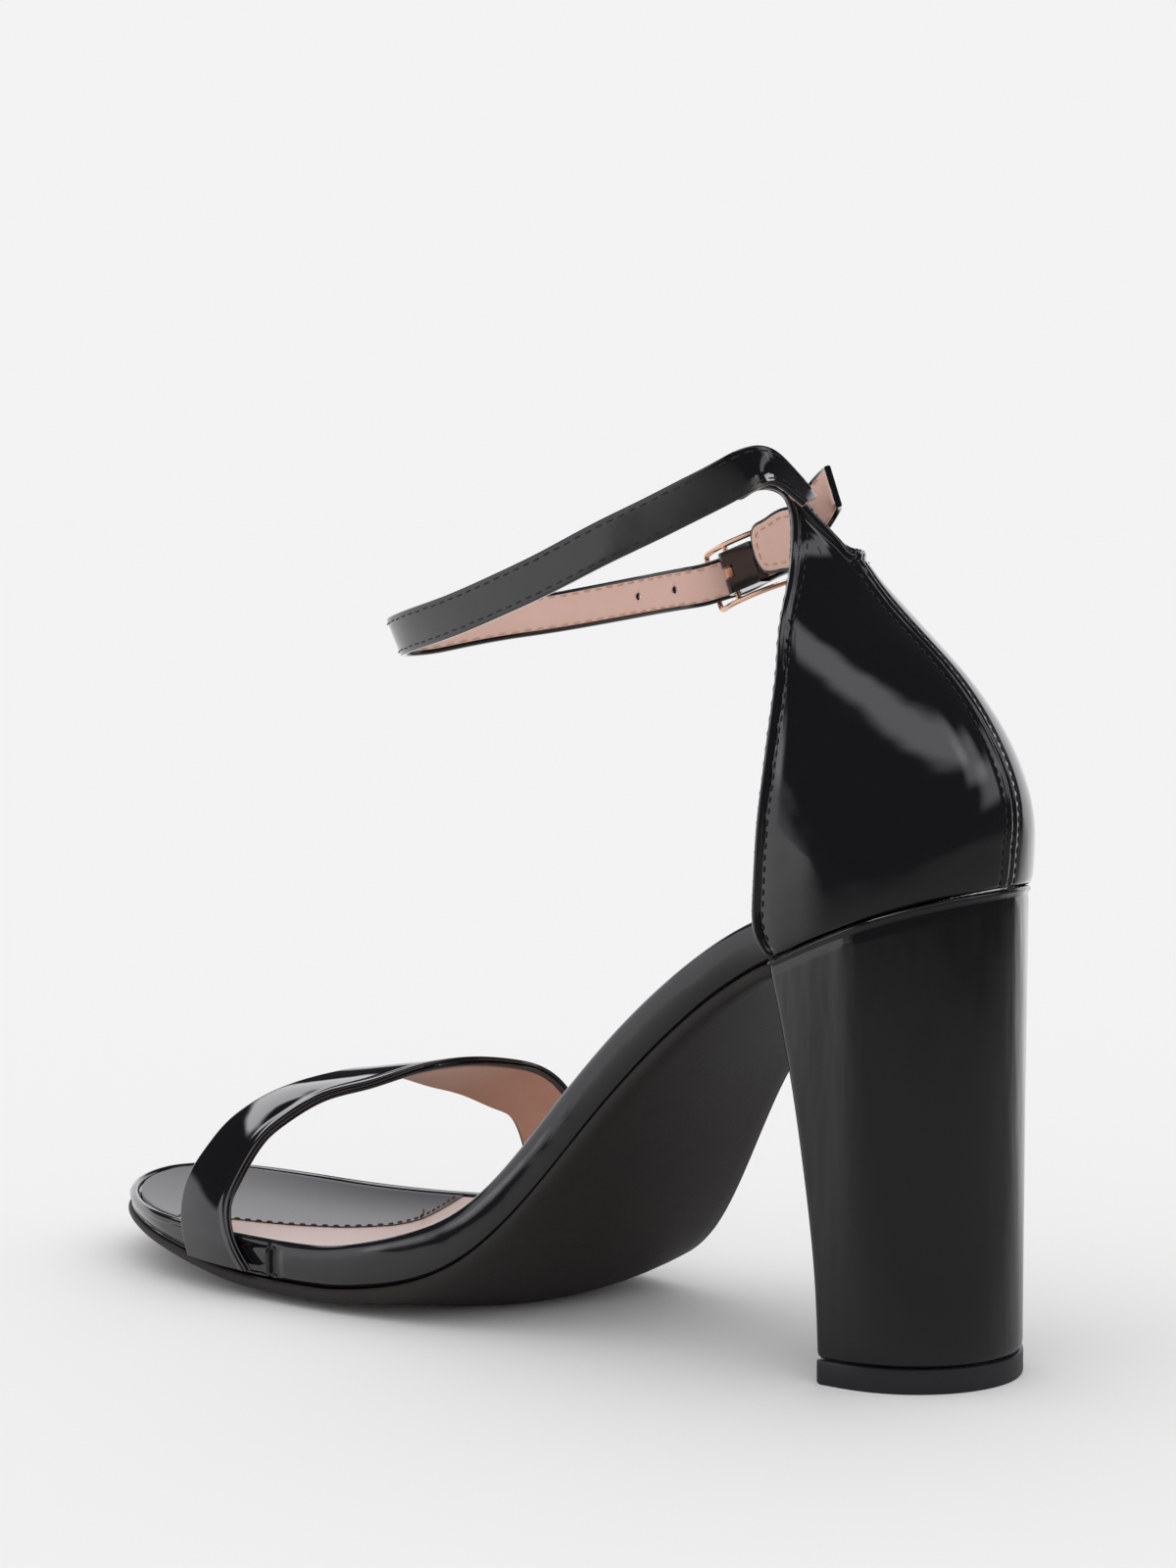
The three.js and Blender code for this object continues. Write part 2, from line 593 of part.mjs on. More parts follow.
function offsetGrid(grid, distance) {
  const turnAt = (i, j) => {
    const clampRow = Math.min(grid.length - 1, Math.max(0, i))
    const row = grid[clampRow]
    return row[Math.min(row.length - 1, Math.max(0, j))]
  }
  return grid.map((row, i) => row.map((point, j) => {
    const up = turnAt(i + 1, j).clone().sub(turnAt(i - 1, j))
    const round = turnAt(i, j + 1).clone().sub(turnAt(i, j - 1))
    const away = up.cross(round).normalize()
    return point.clone().addScaledVector(away, distance(i, j))
  }))
}

function counter() {
  const outer = []
  const top = counterRows.length - 1
  for (let i = 0; i <= counterLevels; i++) {
    const lift = top * i / counterLevels
    const row = []
    for (let j = -counterSteps; j <= counterSteps; j++) {
      row.push(counterPoint(j < 0 ? -1 : 1, Math.abs(j) / counterSteps, lift))
    }
    outer.push(row)
  }
  const inner = offsetGrid(outer, () => -counterWall)
  inner[0].forEach((point, j) => { point.z = Math.max(point.z, outer[0][j].z) })
  const shell = toSolid(stacked([outer, inner]))
  const beyond = [{ at: -0.2, up: 1.56 }, { at: -0.2, up: 0.6 }]
  const cutter = (cut, from, to) => {
    const outline = [...cut, ...beyond].map(p => new THREE.Vector2(along(p.at), above(p.up)))
    const shape = new THREE.Shape(outline)
    const plate = new THREE.ExtrudeGeometry(shape, { depth: to - from, bevelEnabled: false })
    plate.rotateX(Math.PI / 2)
    plate.translate(0, to, 0)
    return toSolid(plate)
  }
  const keep = cutter(medialCut, -0.5, ballWidth).add(cutter(lateralCut, -ballWidth, 0.5))
  return shell.intersect(keep)
}

// Vamp strap: a ruled band with a folded rear edge
function vampStrap() {
  const last = vampRows.length - 1
  const rows = columns(vampRows.map((row, i) => ({ run: i / last, ...row })), 'run')
  const outer = []
  for (let i = 0; i <= vampSteps; i++) {
    const here = rows(i / vampSteps)
    const rear = new THREE.Vector3(along(here.rearAt), across(here.rearOut), above(here.rearUp))
    const fore = new THREE.Vector3(along(here.foreAt), across(here.foreOut), above(here.foreUp))
    const row = []
    for (let j = 0; j <= vampCross; j++) row.push(rear.clone().lerp(fore, j / vampCross))
    outer.push(row)
  }
  const crowned = offsetGrid(outer, (i, j) => 0.5 * Math.sin(Math.PI * j / vampCross))
  const inner = offsetGrid(outer, (i, j) => -vampThickness + (j === 0 ? 0.3 : 0))
  const raised = offsetGrid(crowned, (i, j) => j === 0 ? vampRim - 0.3 : 0)
  return stacked([raised, inner])
}

// Ankle strap: a flat band swept along its table, then pierced
function strapPath() {
  const points = strapRows.map(p => new THREE.Vector3(along(p.at), across(p.out), above(p.up)))
  const curve = new THREE.CatmullRomCurve3(points, false, 'centripetal')
  const last = strapRows.length - 1
  const lean = smooth(strapRows.map((row, i) => ({ run: i / last, lean: row.lean })), 'run', 'lean')
  return run => {
    const point = curve.getPoint(run)
    const tangent = curve.getTangent(run)
    const up = new THREE.Vector3(0, 0, 1)
    up.addScaledVector(tangent, -up.dot(tangent)).normalize()
    const out = tangent.clone().cross(up)
    const angle = rad(lean(run))
    const wide = up.clone().multiplyScalar(Math.cos(angle)).addScaledVector(out, Math.sin(angle))
    const thin = out.multiplyScalar(Math.cos(angle)).addScaledVector(up, -Math.sin(angle))
    return { point, tangent, wide, thin }
  }
}

function strapRing(place) {
  const half = strapWidth / 2
  const deep = strapThickness / 2
  const soft = 0.45
  const corners = [
    [half, deep - soft], [half - soft, deep], [soft - half, deep], [-half, deep - soft],
    [-half, soft - deep], [soft - half, -deep], [half - soft, -deep], [half, soft - deep]
  ]
  return corners.map(([w, d]) =>
    place.point.clone().addScaledVector(place.wide, w).addScaledVector(place.thin, d))
}

function rod(from, to, radius, sides) {
  const length = from.distanceTo(to)
  const geometry = new THREE.CylinderGeometry(radius, radius, length, sides)
  const turn = new THREE.Quaternion()
  turn.setFromUnitVectors(new THREE.Vector3(0, 1, 0), to.clone().sub(from).normalize())
  geometry.applyQuaternion(turn)
  const middle = from.clone().lerp(to, 0.5)
  geometry.translate(middle.x, middle.y, middle.z)
  return geometry
}

// Buckle in its own frame: x towards the back, y up along the strap's width, z outwards
const buckleFrame = (() => {
  const turn = rad(buckle.rise)
  const back = new THREE.Vector3(-Math.cos(turn), 0, Math.sin(turn))
  const out = new THREE.Vector3(0, -1, 0)
  const tall = out.clone().cross(back)
  const frame = new THREE.Matrix4().makeBasis(back, tall, out)
  return frame.setPosition(along(buckle.at), across(buckle.out), above(buckle.up))
})()
const halfLength = buckleLength / 2 - wireRadius
const halfHeight = buckleHeight / 2 - wireRadius
const bowed = (x, y) => new THREE.Vector3(x, y, buckleBow * (x / halfLength) ** 2)

function buckleRing() {
  const corner = 1.3
  const wide = halfLength
  const tall = halfHeight
  const quarter = [
    [0, tall], [wide * 0.35, tall], [wide * 0.7, tall], [wide - corner, tall],
    [wide - corner * 0.3, tall - corner * 0.3], [wide, tall - corner], [wide, 0]
  ]
  const right = [...quarter, ...quarter.slice(0, -1).reverse().map(([x, y]) => [x, -y])]
  const left = right.slice(1, -1).reverse().map(([x, y]) => [-x, y])
  const path = new THREE.CatmullRomCurve3([...right, ...left].map(([x, y]) => bowed(x, y)), true)
  const ring = toSolid(new THREE.TubeGeometry(path, 44, wireRadius, 8, true))
  const reach = halfHeight
  const level = bowed(buckle.bar, 0).z
  const bar = rod(new THREE.Vector3(buckle.bar, -reach, level), new THREE.Vector3(buckle.bar, reach, level),
    barRadius, 12)
  return ring.add(toSolid(bar))
}

const barPoint = bowed(buckle.bar, 0)
const tongueRest = buckleBow + wireRadius + tongueRadius + gap
const tongueEnd = new THREE.Vector3(-halfLength - 0.5, 0, tongueRest + 0.3)

const armStart = barPoint.clone().add(new THREE.Vector3(0.3, 0, 1.2))

function tongueArm(extra) {
  const ahead = tongueEnd.clone().sub(armStart).setLength(extra)
  return toSolid(rod(armStart, tongueEnd.clone().add(ahead), tongueRadius + extra, 12))
}

function buckleTongue() {
  const half = new THREE.Vector3(0, eyeWidth / 2, 0)
  const reach = new THREE.Vector3(0, eyeWidth, 0)
  const eye = rod(barPoint.clone().sub(half), barPoint.clone().add(half), barRadius + 0.9, 18)
  const bore = rod(barPoint.clone().sub(reach), barPoint.clone().add(reach), barRadius + 0.3, 18)
  return toSolid(eye).add(tongueArm(0)).subtract(toSolid(bore))
}

function buckleLoop() {
  const thick = barRadius + gap + loopWall
  const shape = new THREE.Shape()
  shape.absarc(0, 0, thick, Math.PI / 2, Math.PI * 1.5, false)
  shape.lineTo(loopLength - thick, -thick)
  shape.lineTo(loopLength - thick, thick)
  shape.closePath()
  const options = { depth: loopHeight, bevelEnabled: false, curveSegments: 12 }
  const band = new THREE.ExtrudeGeometry(shape, options)
  band.translate(0, 0, -loopHeight / 2)
  band.rotateX(-Math.PI / 2)
  band.translate(barPoint.x, 0, barPoint.z)
  const reach = new THREE.Vector3(0, loopHeight, 0)
  const bore = rod(barPoint.clone().sub(reach), barPoint.clone().add(reach), barRadius + gap, 18)
  const slot = new THREE.BoxGeometry(2 * thick + 2, eyeWidth + 2 * gap, 4 * thick)
  slot.translate(barPoint.x - 1, 0, barPoint.z)
  return toSolid(band).subtract(toSolid(bore)).subtract(toSolid(slot))
}

function ankleStrap() {
  const place = strapPath()
  const rings = []
  for (let i = 0; i <= strapSteps; i++) rings.push(strapRing(place(i / strapSteps)))
  let strap = toSolid(swept(rings))
  for (const at of holeShares) {
    let run = 0
    while (run < 0.45 && strapRows[0].at < at && place(run).point.x < along(at)) run += 0.0005
    const here = place(run)
    const reach = here.thin.clone().multiplyScalar(strapThickness)
    const drill = rod(here.point.clone().sub(reach), here.point.clone().add(reach), holeRadius, 12)
    strap = strap.subtract(toSolid(drill))
  }
  return strap.subtract(tongueArm(gap).transform(buckleFrame.toArray()))
}

// Outsole ends against the front of the heel
function outsole() {
  const edge = along(footHeelEnd)
  const block = new THREE.BoxGeometry(shoeLength, 2 * ballWidth, 2 * seatHeight)
  block.translate(edge - shoeLength / 2, 0, seatHeight)
  return toSolid(layer(outsoleEdge, false, true)).subtract(toSolid(block))
}

const looks = {
  patent: { color: 0x0d0d0f, roughness: 0.12, metalness: 0 },
  cover: { color: 0x101012, roughness: 0.15, metalness: 0 },
  sock: { color: 0x1a1a1c, roughness: 0.3, metalness: 0 },
  rubber: { color: 0x161413, roughness: 0.75, metalness: 0 },
  gold: { color: 0xd9a184, roughness: 0.22, metalness: 1 }
}

const group = new THREE.Group()

function place(name, geometry, look) {
  const mesh = new THREE.Mesh(geometry, new THREE.MeshStandardMaterial(looks[look]))
  mesh.name = name
  mesh.material.name = look
  group.add(mesh)
}

const inBuckle = solid => toGeometry(solid.transform(buckleFrame.toArray()))

place('footbed', layer(footbedEdge, true, false), 'cover')
place('sock', layer(sockEdge, false, false), 'sock')
place('outsole', toGeometry(outsole()), 'rubber')
place('heel', heelBlock(), 'cover')
place('heel_tip', heelTip(), 'rubber')
place('counter', toGeometry(counter()), 'patent')
place('vamp_strap', vampStrap(), 'patent')
place('ankle_strap', toGeometry(ankleStrap()), 'patent')
place('buckle_frame', inBuckle(buckleRing()), 'gold')
place('buckle_tongue', inBuckle(buckleTongue()), 'gold')
place('buckle_loop', inBuckle(buckleLoop()), 'patent')

export default group
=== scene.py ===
import math

import bmesh
import bpy
import numpy as np
from mathutils import Matrix, Vector


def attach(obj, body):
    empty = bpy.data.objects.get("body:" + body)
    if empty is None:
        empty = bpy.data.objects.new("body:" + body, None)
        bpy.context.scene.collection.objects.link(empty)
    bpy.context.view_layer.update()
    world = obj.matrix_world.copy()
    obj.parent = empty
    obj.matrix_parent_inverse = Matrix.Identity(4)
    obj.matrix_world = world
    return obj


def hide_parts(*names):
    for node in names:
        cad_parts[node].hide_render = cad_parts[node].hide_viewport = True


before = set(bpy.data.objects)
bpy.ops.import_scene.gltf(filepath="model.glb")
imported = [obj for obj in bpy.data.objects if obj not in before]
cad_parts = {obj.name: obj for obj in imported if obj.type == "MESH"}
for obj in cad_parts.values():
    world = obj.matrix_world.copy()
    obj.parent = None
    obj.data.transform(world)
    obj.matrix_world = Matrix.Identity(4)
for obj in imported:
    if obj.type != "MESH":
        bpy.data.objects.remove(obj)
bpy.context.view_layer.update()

# All the shoe's own sizes are in millimetres; a mesh is scaled to metres when it is made
MM = 0.001
SHOE_LENGTH = 226.0
BALL_WIDTH = 76.0
SEAT_HEIGHT = 105.0
HEEL_SETBACK = 15.1
GAP = 0.35
SOCK_THICKNESS = 0.8
RIM_DEPTH = 1.15
FOOTBED_DEPTH = 8.2
OUTSOLE_THICKNESS = 2.7
COVER_STEP = 1.0
COVER_EDGE = 0.65
TIP_HEIGHT = 4.9
TIP_FLARE = 0.12
HEEL_CHAMFER = 1.2
COUNTER_SKIN = 1.25
COUNTER_EDGE_THINNING = 0.3
BINDING_RADIUS = 1.0
BINDING_HEIGHT = 0.5
LINING_BORDER = 0.5
LINING_OVERLAP = 0.3
LINING_DEPTH = 0.45
LINING_TUCK = 0.25
STRAP_WIDTH = 8.8
STRAP_THICKNESS = 1.6
STRAP_LINING_INSET = 0.85
STRAP_LINING_THICKNESS = 0.4
HOLE_RADIUS = 0.8
WELD_REACH = 0.002
EDGE_STITCH_INSET = 2.75
LINING_STITCH_INSET = 1.9
SEAM_STITCH_INSET = 2.3
STRAP_STITCH_INSET = 1.15
PATCH_STITCH_INSET = 0.6

# Stitches by their length, the space between them and the thread's radius
EDGE_STITCH = (1.5, 0.75, 0.17)
SEAM_STITCH = (1.35, 0.65, 0.19)
PATCH_STITCH = (1.5, 0.95, 0.17)
STRAP_STITCH = (2.1, 0.8, 0.17)
STITCH_BITE = 0.12
STITCH_SINK = 0.3
STITCH_WANDER = 0.05
STITCH_SIDES = 6

# Soft ridges and troughs beside a line: middle, half width, height, and power where it isn't 2
COVER_GROOVE = (-1.2, 0.75, 1.15, 4)
COVER_LIP = (0.25, 0.5, 0.95)
COVER_PUFF = (-3.0, 1.1, 0.3)
BINDING_TROUGH = (2.25, 0.4, 0.3)
BINDING_FOOT = (3.2, 0.7, 0.1)
EDGE_ROLL = (0, 0.4, 0.85)
SEAM_RIDGE = (0.8, 0.7, 0.28)
SEAM_TROUGH = (2.3, 0.5, 0.22)
SEAM_VALLEY = (0, 0.35, 0.45)
VAMP_REAR_ROLL = (0.9, 0.9, 0.3, 4)

# The room: the side it is pale on, and its soft panels by their middle, half width, lower and
# upper elevation and softness in degrees, and by their brightness
PALE_SIDE = (0.927, -0.375, 0.0)
SOFT_PANELS = [(128, 50, 36, 52, 7, 1.25), (186, 14, 27, 45, 8, 1.1), (203, 14, 10, 32, 10, 0.95),
               (61, 6, 6, 16, 5, 1.0), (-4, 50, 52, 78, 5, 4.2)]
FLOOR_REACH = 6.0
BACKGROUND = 0.893
LAMP_AZIMUTH, LAMP_ELEVATION, LAMP_DISTANCE = -8, 38, 2.0
LAMP_WIDTH, LAMP_HEIGHT, LAMP_RADIANCE = 0.5, 0.16, 2.2
LAMP_AIM = (0.05, 0, 0.08)

# The camera, in metres
CAMERA_PLACE = (-0.3890, 0.61292, 0.18236)
CAMERA_RIGHT = (-0.78897, -0.61442, -0.00286)
CAMERA_UP = (0.05303, -0.07273, 0.99594)
CAMERA_AHEAD = (0.61214, -0.78562, -0.08997)
CAMERA_LENS = 85.41

# The buckle, and its middle as shares of length, width and height
BUCKLE_LENGTH = 24.0
BUCKLE_HEIGHT = 13.4
BUCKLE_BOW = 3.4
WIRE_RADIUS = 0.6
BAR_RADIUS = 0.6
BUCKLE_CORNER = 1.1
BUCKLE_RISE = 20.0
BUCKLE_BAR = -4.2
BUCKLE_AT, BUCKLE_OUT, BUCKLE_UP = 0.3335, -0.2275, 1.503

# Footbed along the length: rise at the middle, how much the edges stand above it, half widths
FOOT_ROWS = (("at", "rise", "crown", "lip", "medial", "lateral"), [
    (-0.02, 1.021, 0.003, 0, 0.289, 0.347),
    (0.026, 1, 0.003, 0, 0.291, 0.349),
    (0.061, 0.977, 0.003, 0, 0.291, 0.35),
    (0.11, 0.939, 0.003, 0, 0.291, 0.35),
    (0.15, 0.903, 0.004, 0, 0.29, 0.345),
    (0.185, 0.867, 0.006, 0, 0.287, 0.34),
    (0.22, 0.828, 0.01, 0, 0.283, 0.349),
    (0.304, 0.686, 0.019, 0.003, 0.291, 0.376),
    (0.389, 0.461, 0.029, 0.002, 0.311, 0.39),
    (0.477, 0.168, 0.044, 0, 0.376, 0.432),
    (0.557, 0.1, 0.038, 0.034, 0.45, 0.495),
    (0.636, 0.104, 0.026, 0.016, 0.483, 0.478),
    (0.747, 0.11, 0.02, 0.002, 0.48, 0.369),
    (0.835, 0.117, 0.017, 0, 0.463, 0.32),
    (0.911, 0.126, 0.013, 0, 0.418, 0.305),
    (1.03, 0.145, 0.008, 0, 0.33, 0.335)])
SEAT_BACK, SEAT_TURN, TOE_TURN, TOE_TIP, TOE_OUT = 0.0186, 0.135, 0.87, 1.032, -0.05
THIN_FROM, THIN_TO, THIN_FOOTBED, THIN_OUTSOLE = 0.73, 0.97, 0.72, 0.45
LIP_KEPT = 0.4
BALL_TURN = 0.33
BALL_FROM, BALL_FROM_SPREAD = 0.406, 0.053
BALL_TO, BALL_TO_SPREAD = 0.778, 0.035
SQUARE_FROM, SQUARE_TO = 0.17, 0.28
SIDE_SHIFT = 0.068
SHIFT_FROM, SHIFT_FULL, SHIFT_FADE, SHIFT_TO = 0.2, 0.6, 0.74, 0.97
BREAST_AT = 0.1855

# Heel block from its top down
HEEL_ROWS = (("down", "back", "front", "medial", "lateral", "nose"), [
    (0, 0.006, 0.183, 0.31, 0.36, 0.105),
    (0.33, 0.004, 0.16, 0.305, 0.333, 0.106),
    (0.56, 0.003, 0.1475, 0.301, 0.314, 0.105),
    (0.83, 0.001, 0.136, 0.3, 0.29, 0.106),
    (1, 0.001, 0.133, 0.3, 0.286, 0.105)])

# Counter from its lower edge up, as level sections
COUNTER_ROWS = (("lift", "up", "back", "drop"), [
    (0, 0.93, 0.006, 0.37),
    (1, 1.01, 0, 0.3),
    (2, 1.105, 0.002, 0.22),
    (3, 1.22, 0.0265, 0.12),
    (4, 1.333, 0.069, 0.05),
    (5, 1.438, 0.123, 0),
    (6, 1.543, 0.163, 0),
    (7, 1.638, 0.176, 0),
    (8, 1.76, 0.181, 0)])
FLANK_COLUMNS = ("lift", "half", "nose", "ahead")
MEDIAL_ROWS = (FLANK_COLUMNS, [
    (0, 0.324, 0.137, 0.22),
    (1, 0.332, 0.144, 0.22),
    (2, 0.334, 0.177, 0.22),
    (3, 0.324, 0.2, 0.22),
    (4, 0.297, 0.177, 0.225),
    (5, 0.26, 0.146, 0.25),
    (6, 0.217, 0.15, 0.27),
    (7, 0.184, 0.12, 0.28),
    (8, 0.17, 0.115, 0.285)])
LATERAL_ROWS = (FLANK_COLUMNS, [
    (0, 0.373, 0.11, 0.22),
    (1, 0.38, 0.117, 0.22),
    (2, 0.378, 0.148, 0.22),
    (3, 0.356, 0.158, 0.24),
    (4, 0.282, 0.13, 0.28),
    (5, 0.224, 0.088, 0.33),
    (6, 0.196, 0.12, 0.345),
    (7, 0.19, 0.12, 0.345),
    (8, 0.186, 0.115, 0.345)])
# Cut edge of each quarter in side view, from the lower front corner up and back to the seam
MEDIAL_CUT = [
    (0.18, 0.724), (0.183, 0.77), (0.189, 0.8), (0.193, 0.838), (0.1935, 0.92),
    (0.19, 1.03), (0.186, 1.124), (0.184, 1.2), (0.183, 1.314), (0.187, 1.39), (0.1925, 1.476),
    (0.198, 1.533), (0.202, 1.586), (0.2045, 1.617), (0.211, 1.646), (0.222, 1.657),
    (0.236, 1.652), (0.2495, 1.64), (0.254, 1.682), (0.238, 1.69), (0.213, 1.68),
    (0.196, 1.648), (0.187, 1.62), (0.177, 1.59), (0.164, 1.545)]
LATERAL_CUT = [
    (0.18, 0.724), (0.183, 0.77), (0.188, 0.8), (0.191, 0.838), (0.192, 0.924), (0.19, 1.03),
    (0.189, 1.124), (0.189, 1.22), (0.193, 1.305), (0.2035, 1.38), (0.225, 1.448), (0.2535, 1.486),
    (0.282, 1.498), (0.306, 1.497), (0.3165, 1.576), (0.305, 1.5955), (0.2945, 1.608), (0.2835, 1.618),
    (0.272, 1.622), (0.2595, 1.617), (0.246, 1.6045), (0.232, 1.586), (0.215, 1.5645), (0.198, 1.549),
    (0.18, 1.545), (0.164, 1.545)]

# Vamp strap from its medial end over the foot to its lateral end: rear edge, then front edge
VAMP_ROWS = (("run", "rear_at", "rear_out", "rear_up", "fore_at", "fore_out", "fore_up"), [
    (0, 0.74, 0.499, 0.062, 0.824, 0.482, 0.07),
    (1, 0.76, 0.497, 0.119, 0.833, 0.479, 0.129),
    (2, 0.774, 0.4703, 0.1796, 0.841, 0.4495, 0.1831),
    (3, 0.776, 0.4308, 0.2213, 0.839, 0.418, 0.2373),
    (4, 0.773, 0.3852, 0.2676, 0.829, 0.3725, 0.2927),
    (5, 0.768, 0.3296, 0.3139, 0.818, 0.3214, 0.3395),
    (6, 0.758, 0.2608, 0.3491, 0.799, 0.251, 0.3833),
    (7, 0.738, 0.1606, 0.3903, 0.776, 0.1579, 0.4141),
    (8, 0.714, 0.0493, 0.4109, 0.757, 0.0414, 0.4285),
    (9, 0.687, -0.0606, 0.4395, 0.749, -0.0659, 0.4264),
    (10, 0.656, -0.1761, 0.454, 0.742, -0.1673, 0.4105),
    (11, 0.63, -0.2792, 0.4472, 0.731, -0.2525, 0.3856),
    (12, 0.61, -0.3636, 0.4266, 0.711, -0.3264, 0.364),
    (13, 0.599, -0.4341, 0.3796, 0.686, -0.3873, 0.3333),
    (14, 0.592, -0.4808, 0.3063, 0.666, -0.4357, 0.2971),
    (15, 0.5905, -0.5, 0.21, 0.657, -0.47, 0.19),
    (16, 0.594, -0.511, 0.133, 0.657, -0.484, 0.119),
    (17, 0.599, -0.512, 0.057, 0.661, -0.487, 0.057)])

# Ankle strap from its free tip through the buckle, round the ankle and back to the quarter
STRAP_ROWS = (("at", "out", "up", "lean"), [
    (0.2286, -0.1859, 1.6612, -16),
    (0.2438, -0.2246, 1.6474, -19),
    (0.261, -0.2216, 1.5942, -4),
    (0.285, -0.239, 1.543, -2),
    (0.309, -0.268, 1.523, 0),
    (0.3265, -0.2785, 1.51, 0),
    (0.3505, -0.2815, 1.488, 0),
    (0.368, -0.257, 1.475, 0),
    (0.3825, -0.2345, 1.464, 0),
    (0.3995, -0.226, 1.457, 0),
    (0.424, -0.237, 1.449, 2),
    (0.4595, -0.254, 1.437, 4),
    (0.5125, -0.25, 1.417, 8),
    (0.5655, -0.218, 1.397, 12),
    (0.61, -0.171, 1.381, 16),
    (0.645, -0.11, 1.364, 20),
    (0.667, -0.053, 1.352, 23),
    (0.6775, 0.0066, 1.349, 24),
    (0.672, 0.066, 1.3505, 22),
    (0.6495, 0.126, 1.36, 16),
    (0.614, 0.175, 1.377, 10),
    (0.5654, 0.2108, 1.403, 4),
    (0.5036, 0.237, 1.4455, 2),
    (0.4419, 0.2454, 1.4954, 1),
    (0.3809, 0.2421, 1.5525, 4),
    (0.3274, 0.2325, 1.6003, 8),
    (0.2828, 0.2264, 1.6413, 13),
    (0.2479, 0.2156, 1.6753, 13),
    (0.222, 0.1987, 1.6986, -7),
    (0.2058, 0.1714, 1.692, -52),
    (0.1916, 0.1439, 1.6627, -70),
    (0.1813, 0.1273, 1.6355, -80)])
HOLE_SHARES = (0.263, 0.3115, 0.4145, 0.463)


# Curves and sizes

def along(at):
    return np.asarray(at) * SHOE_LENGTH - HEEL_SETBACK


def across(out):
    return np.asarray(out) * BALL_WIDTH


def above(up):
    return np.asarray(up) * SEAT_HEIGHT


def mix(a, b, t):
    return a + (b - a) * t


def ease(value, low, high):
    t = np.clip((np.asarray(value, float) - low) / (high - low), 0, 1)
    return t * t * (3 - 2 * t)


def soft(distance, middle, width, height, power=2):
    """Height of a soft ridge at a distance from its line."""
    return height * np.exp(-((distance - middle) / width) ** power)


def smooth_curve(x, y):
    """A natural cubic curve through the points; y may have several columns."""
    x, y = np.asarray(x, float), np.asarray(y, float)
    n = len(x)
    step = np.diff(x)
    system, right = np.eye(n), np.zeros(y.shape)
    slope = np.diff(y, axis=0) / (step if y.ndim == 1 else step[:, None])
    for i in range(1, n - 1):
        system[i, i - 1:i + 2] = step[i - 1], 2 * (step[i - 1] + step[i]), step[i]
        right[i] = 6 * (slope[i] - slope[i - 1])
    bend = np.linalg.solve(system, right)

    def at(value):
        value = np.asarray(value, float)
        i = np.clip(np.searchsorted(x, value) - 1, 0, n - 2)
        width = step[i]
        a, b = (x[i + 1] - value) / width, (value - x[i]) / width
        if y.ndim > 1:
            a, b, width = a[..., None], b[..., None], width[..., None]
        curve = (a ** 3 - a) * bend[i] + (b ** 3 - b) * bend[i + 1]
        return a * y[i] + b * y[i + 1] + curve * width ** 2 / 6
    return at


def table_curves(table):
    columns, rows = table
    data = np.array(rows, float)
    curves = {name: smooth_curve(data[:, 0], data[:, k + 1]) for k, name in enumerate(columns[1:])}
    return lambda value: {name: curve(value) for name, curve in curves.items()}


def path_through(points, count):
    """Evenly spaced points on a smooth curve through the given ones."""
    points = np.asarray(points, float)
    lengths = np.r_[0, np.cumsum(np.sqrt(np.linalg.norm(np.diff(points, axis=0), axis=1)))]
    fine = smooth_curve(lengths, points)(np.linspace(0, lengths[-1], 1200))
    run = np.r_[0, np.cumsum(np.linalg.norm(np.diff(fine, axis=0), axis=1))]
    even = np.linspace(0, run[-1], count)
    return np.stack([np.interp(even, run, fine[:, k]) for k in range(fine.shape[1])], -1)


def unit(v):
    return v / np.maximum(np.linalg.norm(v, axis=-1, keepdims=True), 1e-12)


# Meshes

def make_piece(name, points, faces, material, node=None, slot=None, crease=40, weld=False, turn_out=True):
    """A visible piece of the shoe, with its seams welded and its faces turned outward if asked."""
    mesh = bpy.data.meshes.new(name)
    mesh.from_pydata((np.asarray(points) * MM).tolist(), [], [tuple(int(i) for i in f) for f in faces])
    if weld or turn_out:
        work = bmesh.new()
        work.from_mesh(mesh)
        if weld:
            bmesh.ops.remove_doubles(work, verts=work.verts, dist=WELD_REACH * MM)
        if turn_out:
            bmesh.ops.recalc_face_normals(work, faces=work.faces)
        work.to_mesh(mesh)
        work.free()
    mesh.shade_smooth()
    mesh.set_sharp_from_angle(angle=math.radians(crease))
    mesh.materials.append(material)
    piece = bpy.data.objects.new(name, mesh)
    bpy.context.scene.collection.objects.link(piece)
    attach(piece, "root")
    if node:
        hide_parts(node)
    return piece


def grid_faces(rows, cols, start=0, closed=False, flip=False):
    index = np.arange(rows * cols).reshape(rows, cols) + start
    if closed:
        index = np.c_[index, index[:, :1]]
    a, b, c, d = index[:-1, :-1], index[:-1, 1:], index[1:, 1:], index[1:, :-1]
    quads = np.stack([a, b, c, d] if not flip else [d, c, b, a], -1)
    return quads.reshape(-1, 4).tolist()


def rim_of(rows, cols):
    grid = np.arange(rows * cols).reshape(rows, cols)
    return np.concatenate([grid[0, :-1], grid[:-1, -1], grid[-1, :0:-1], grid[:0:-1, 0]])


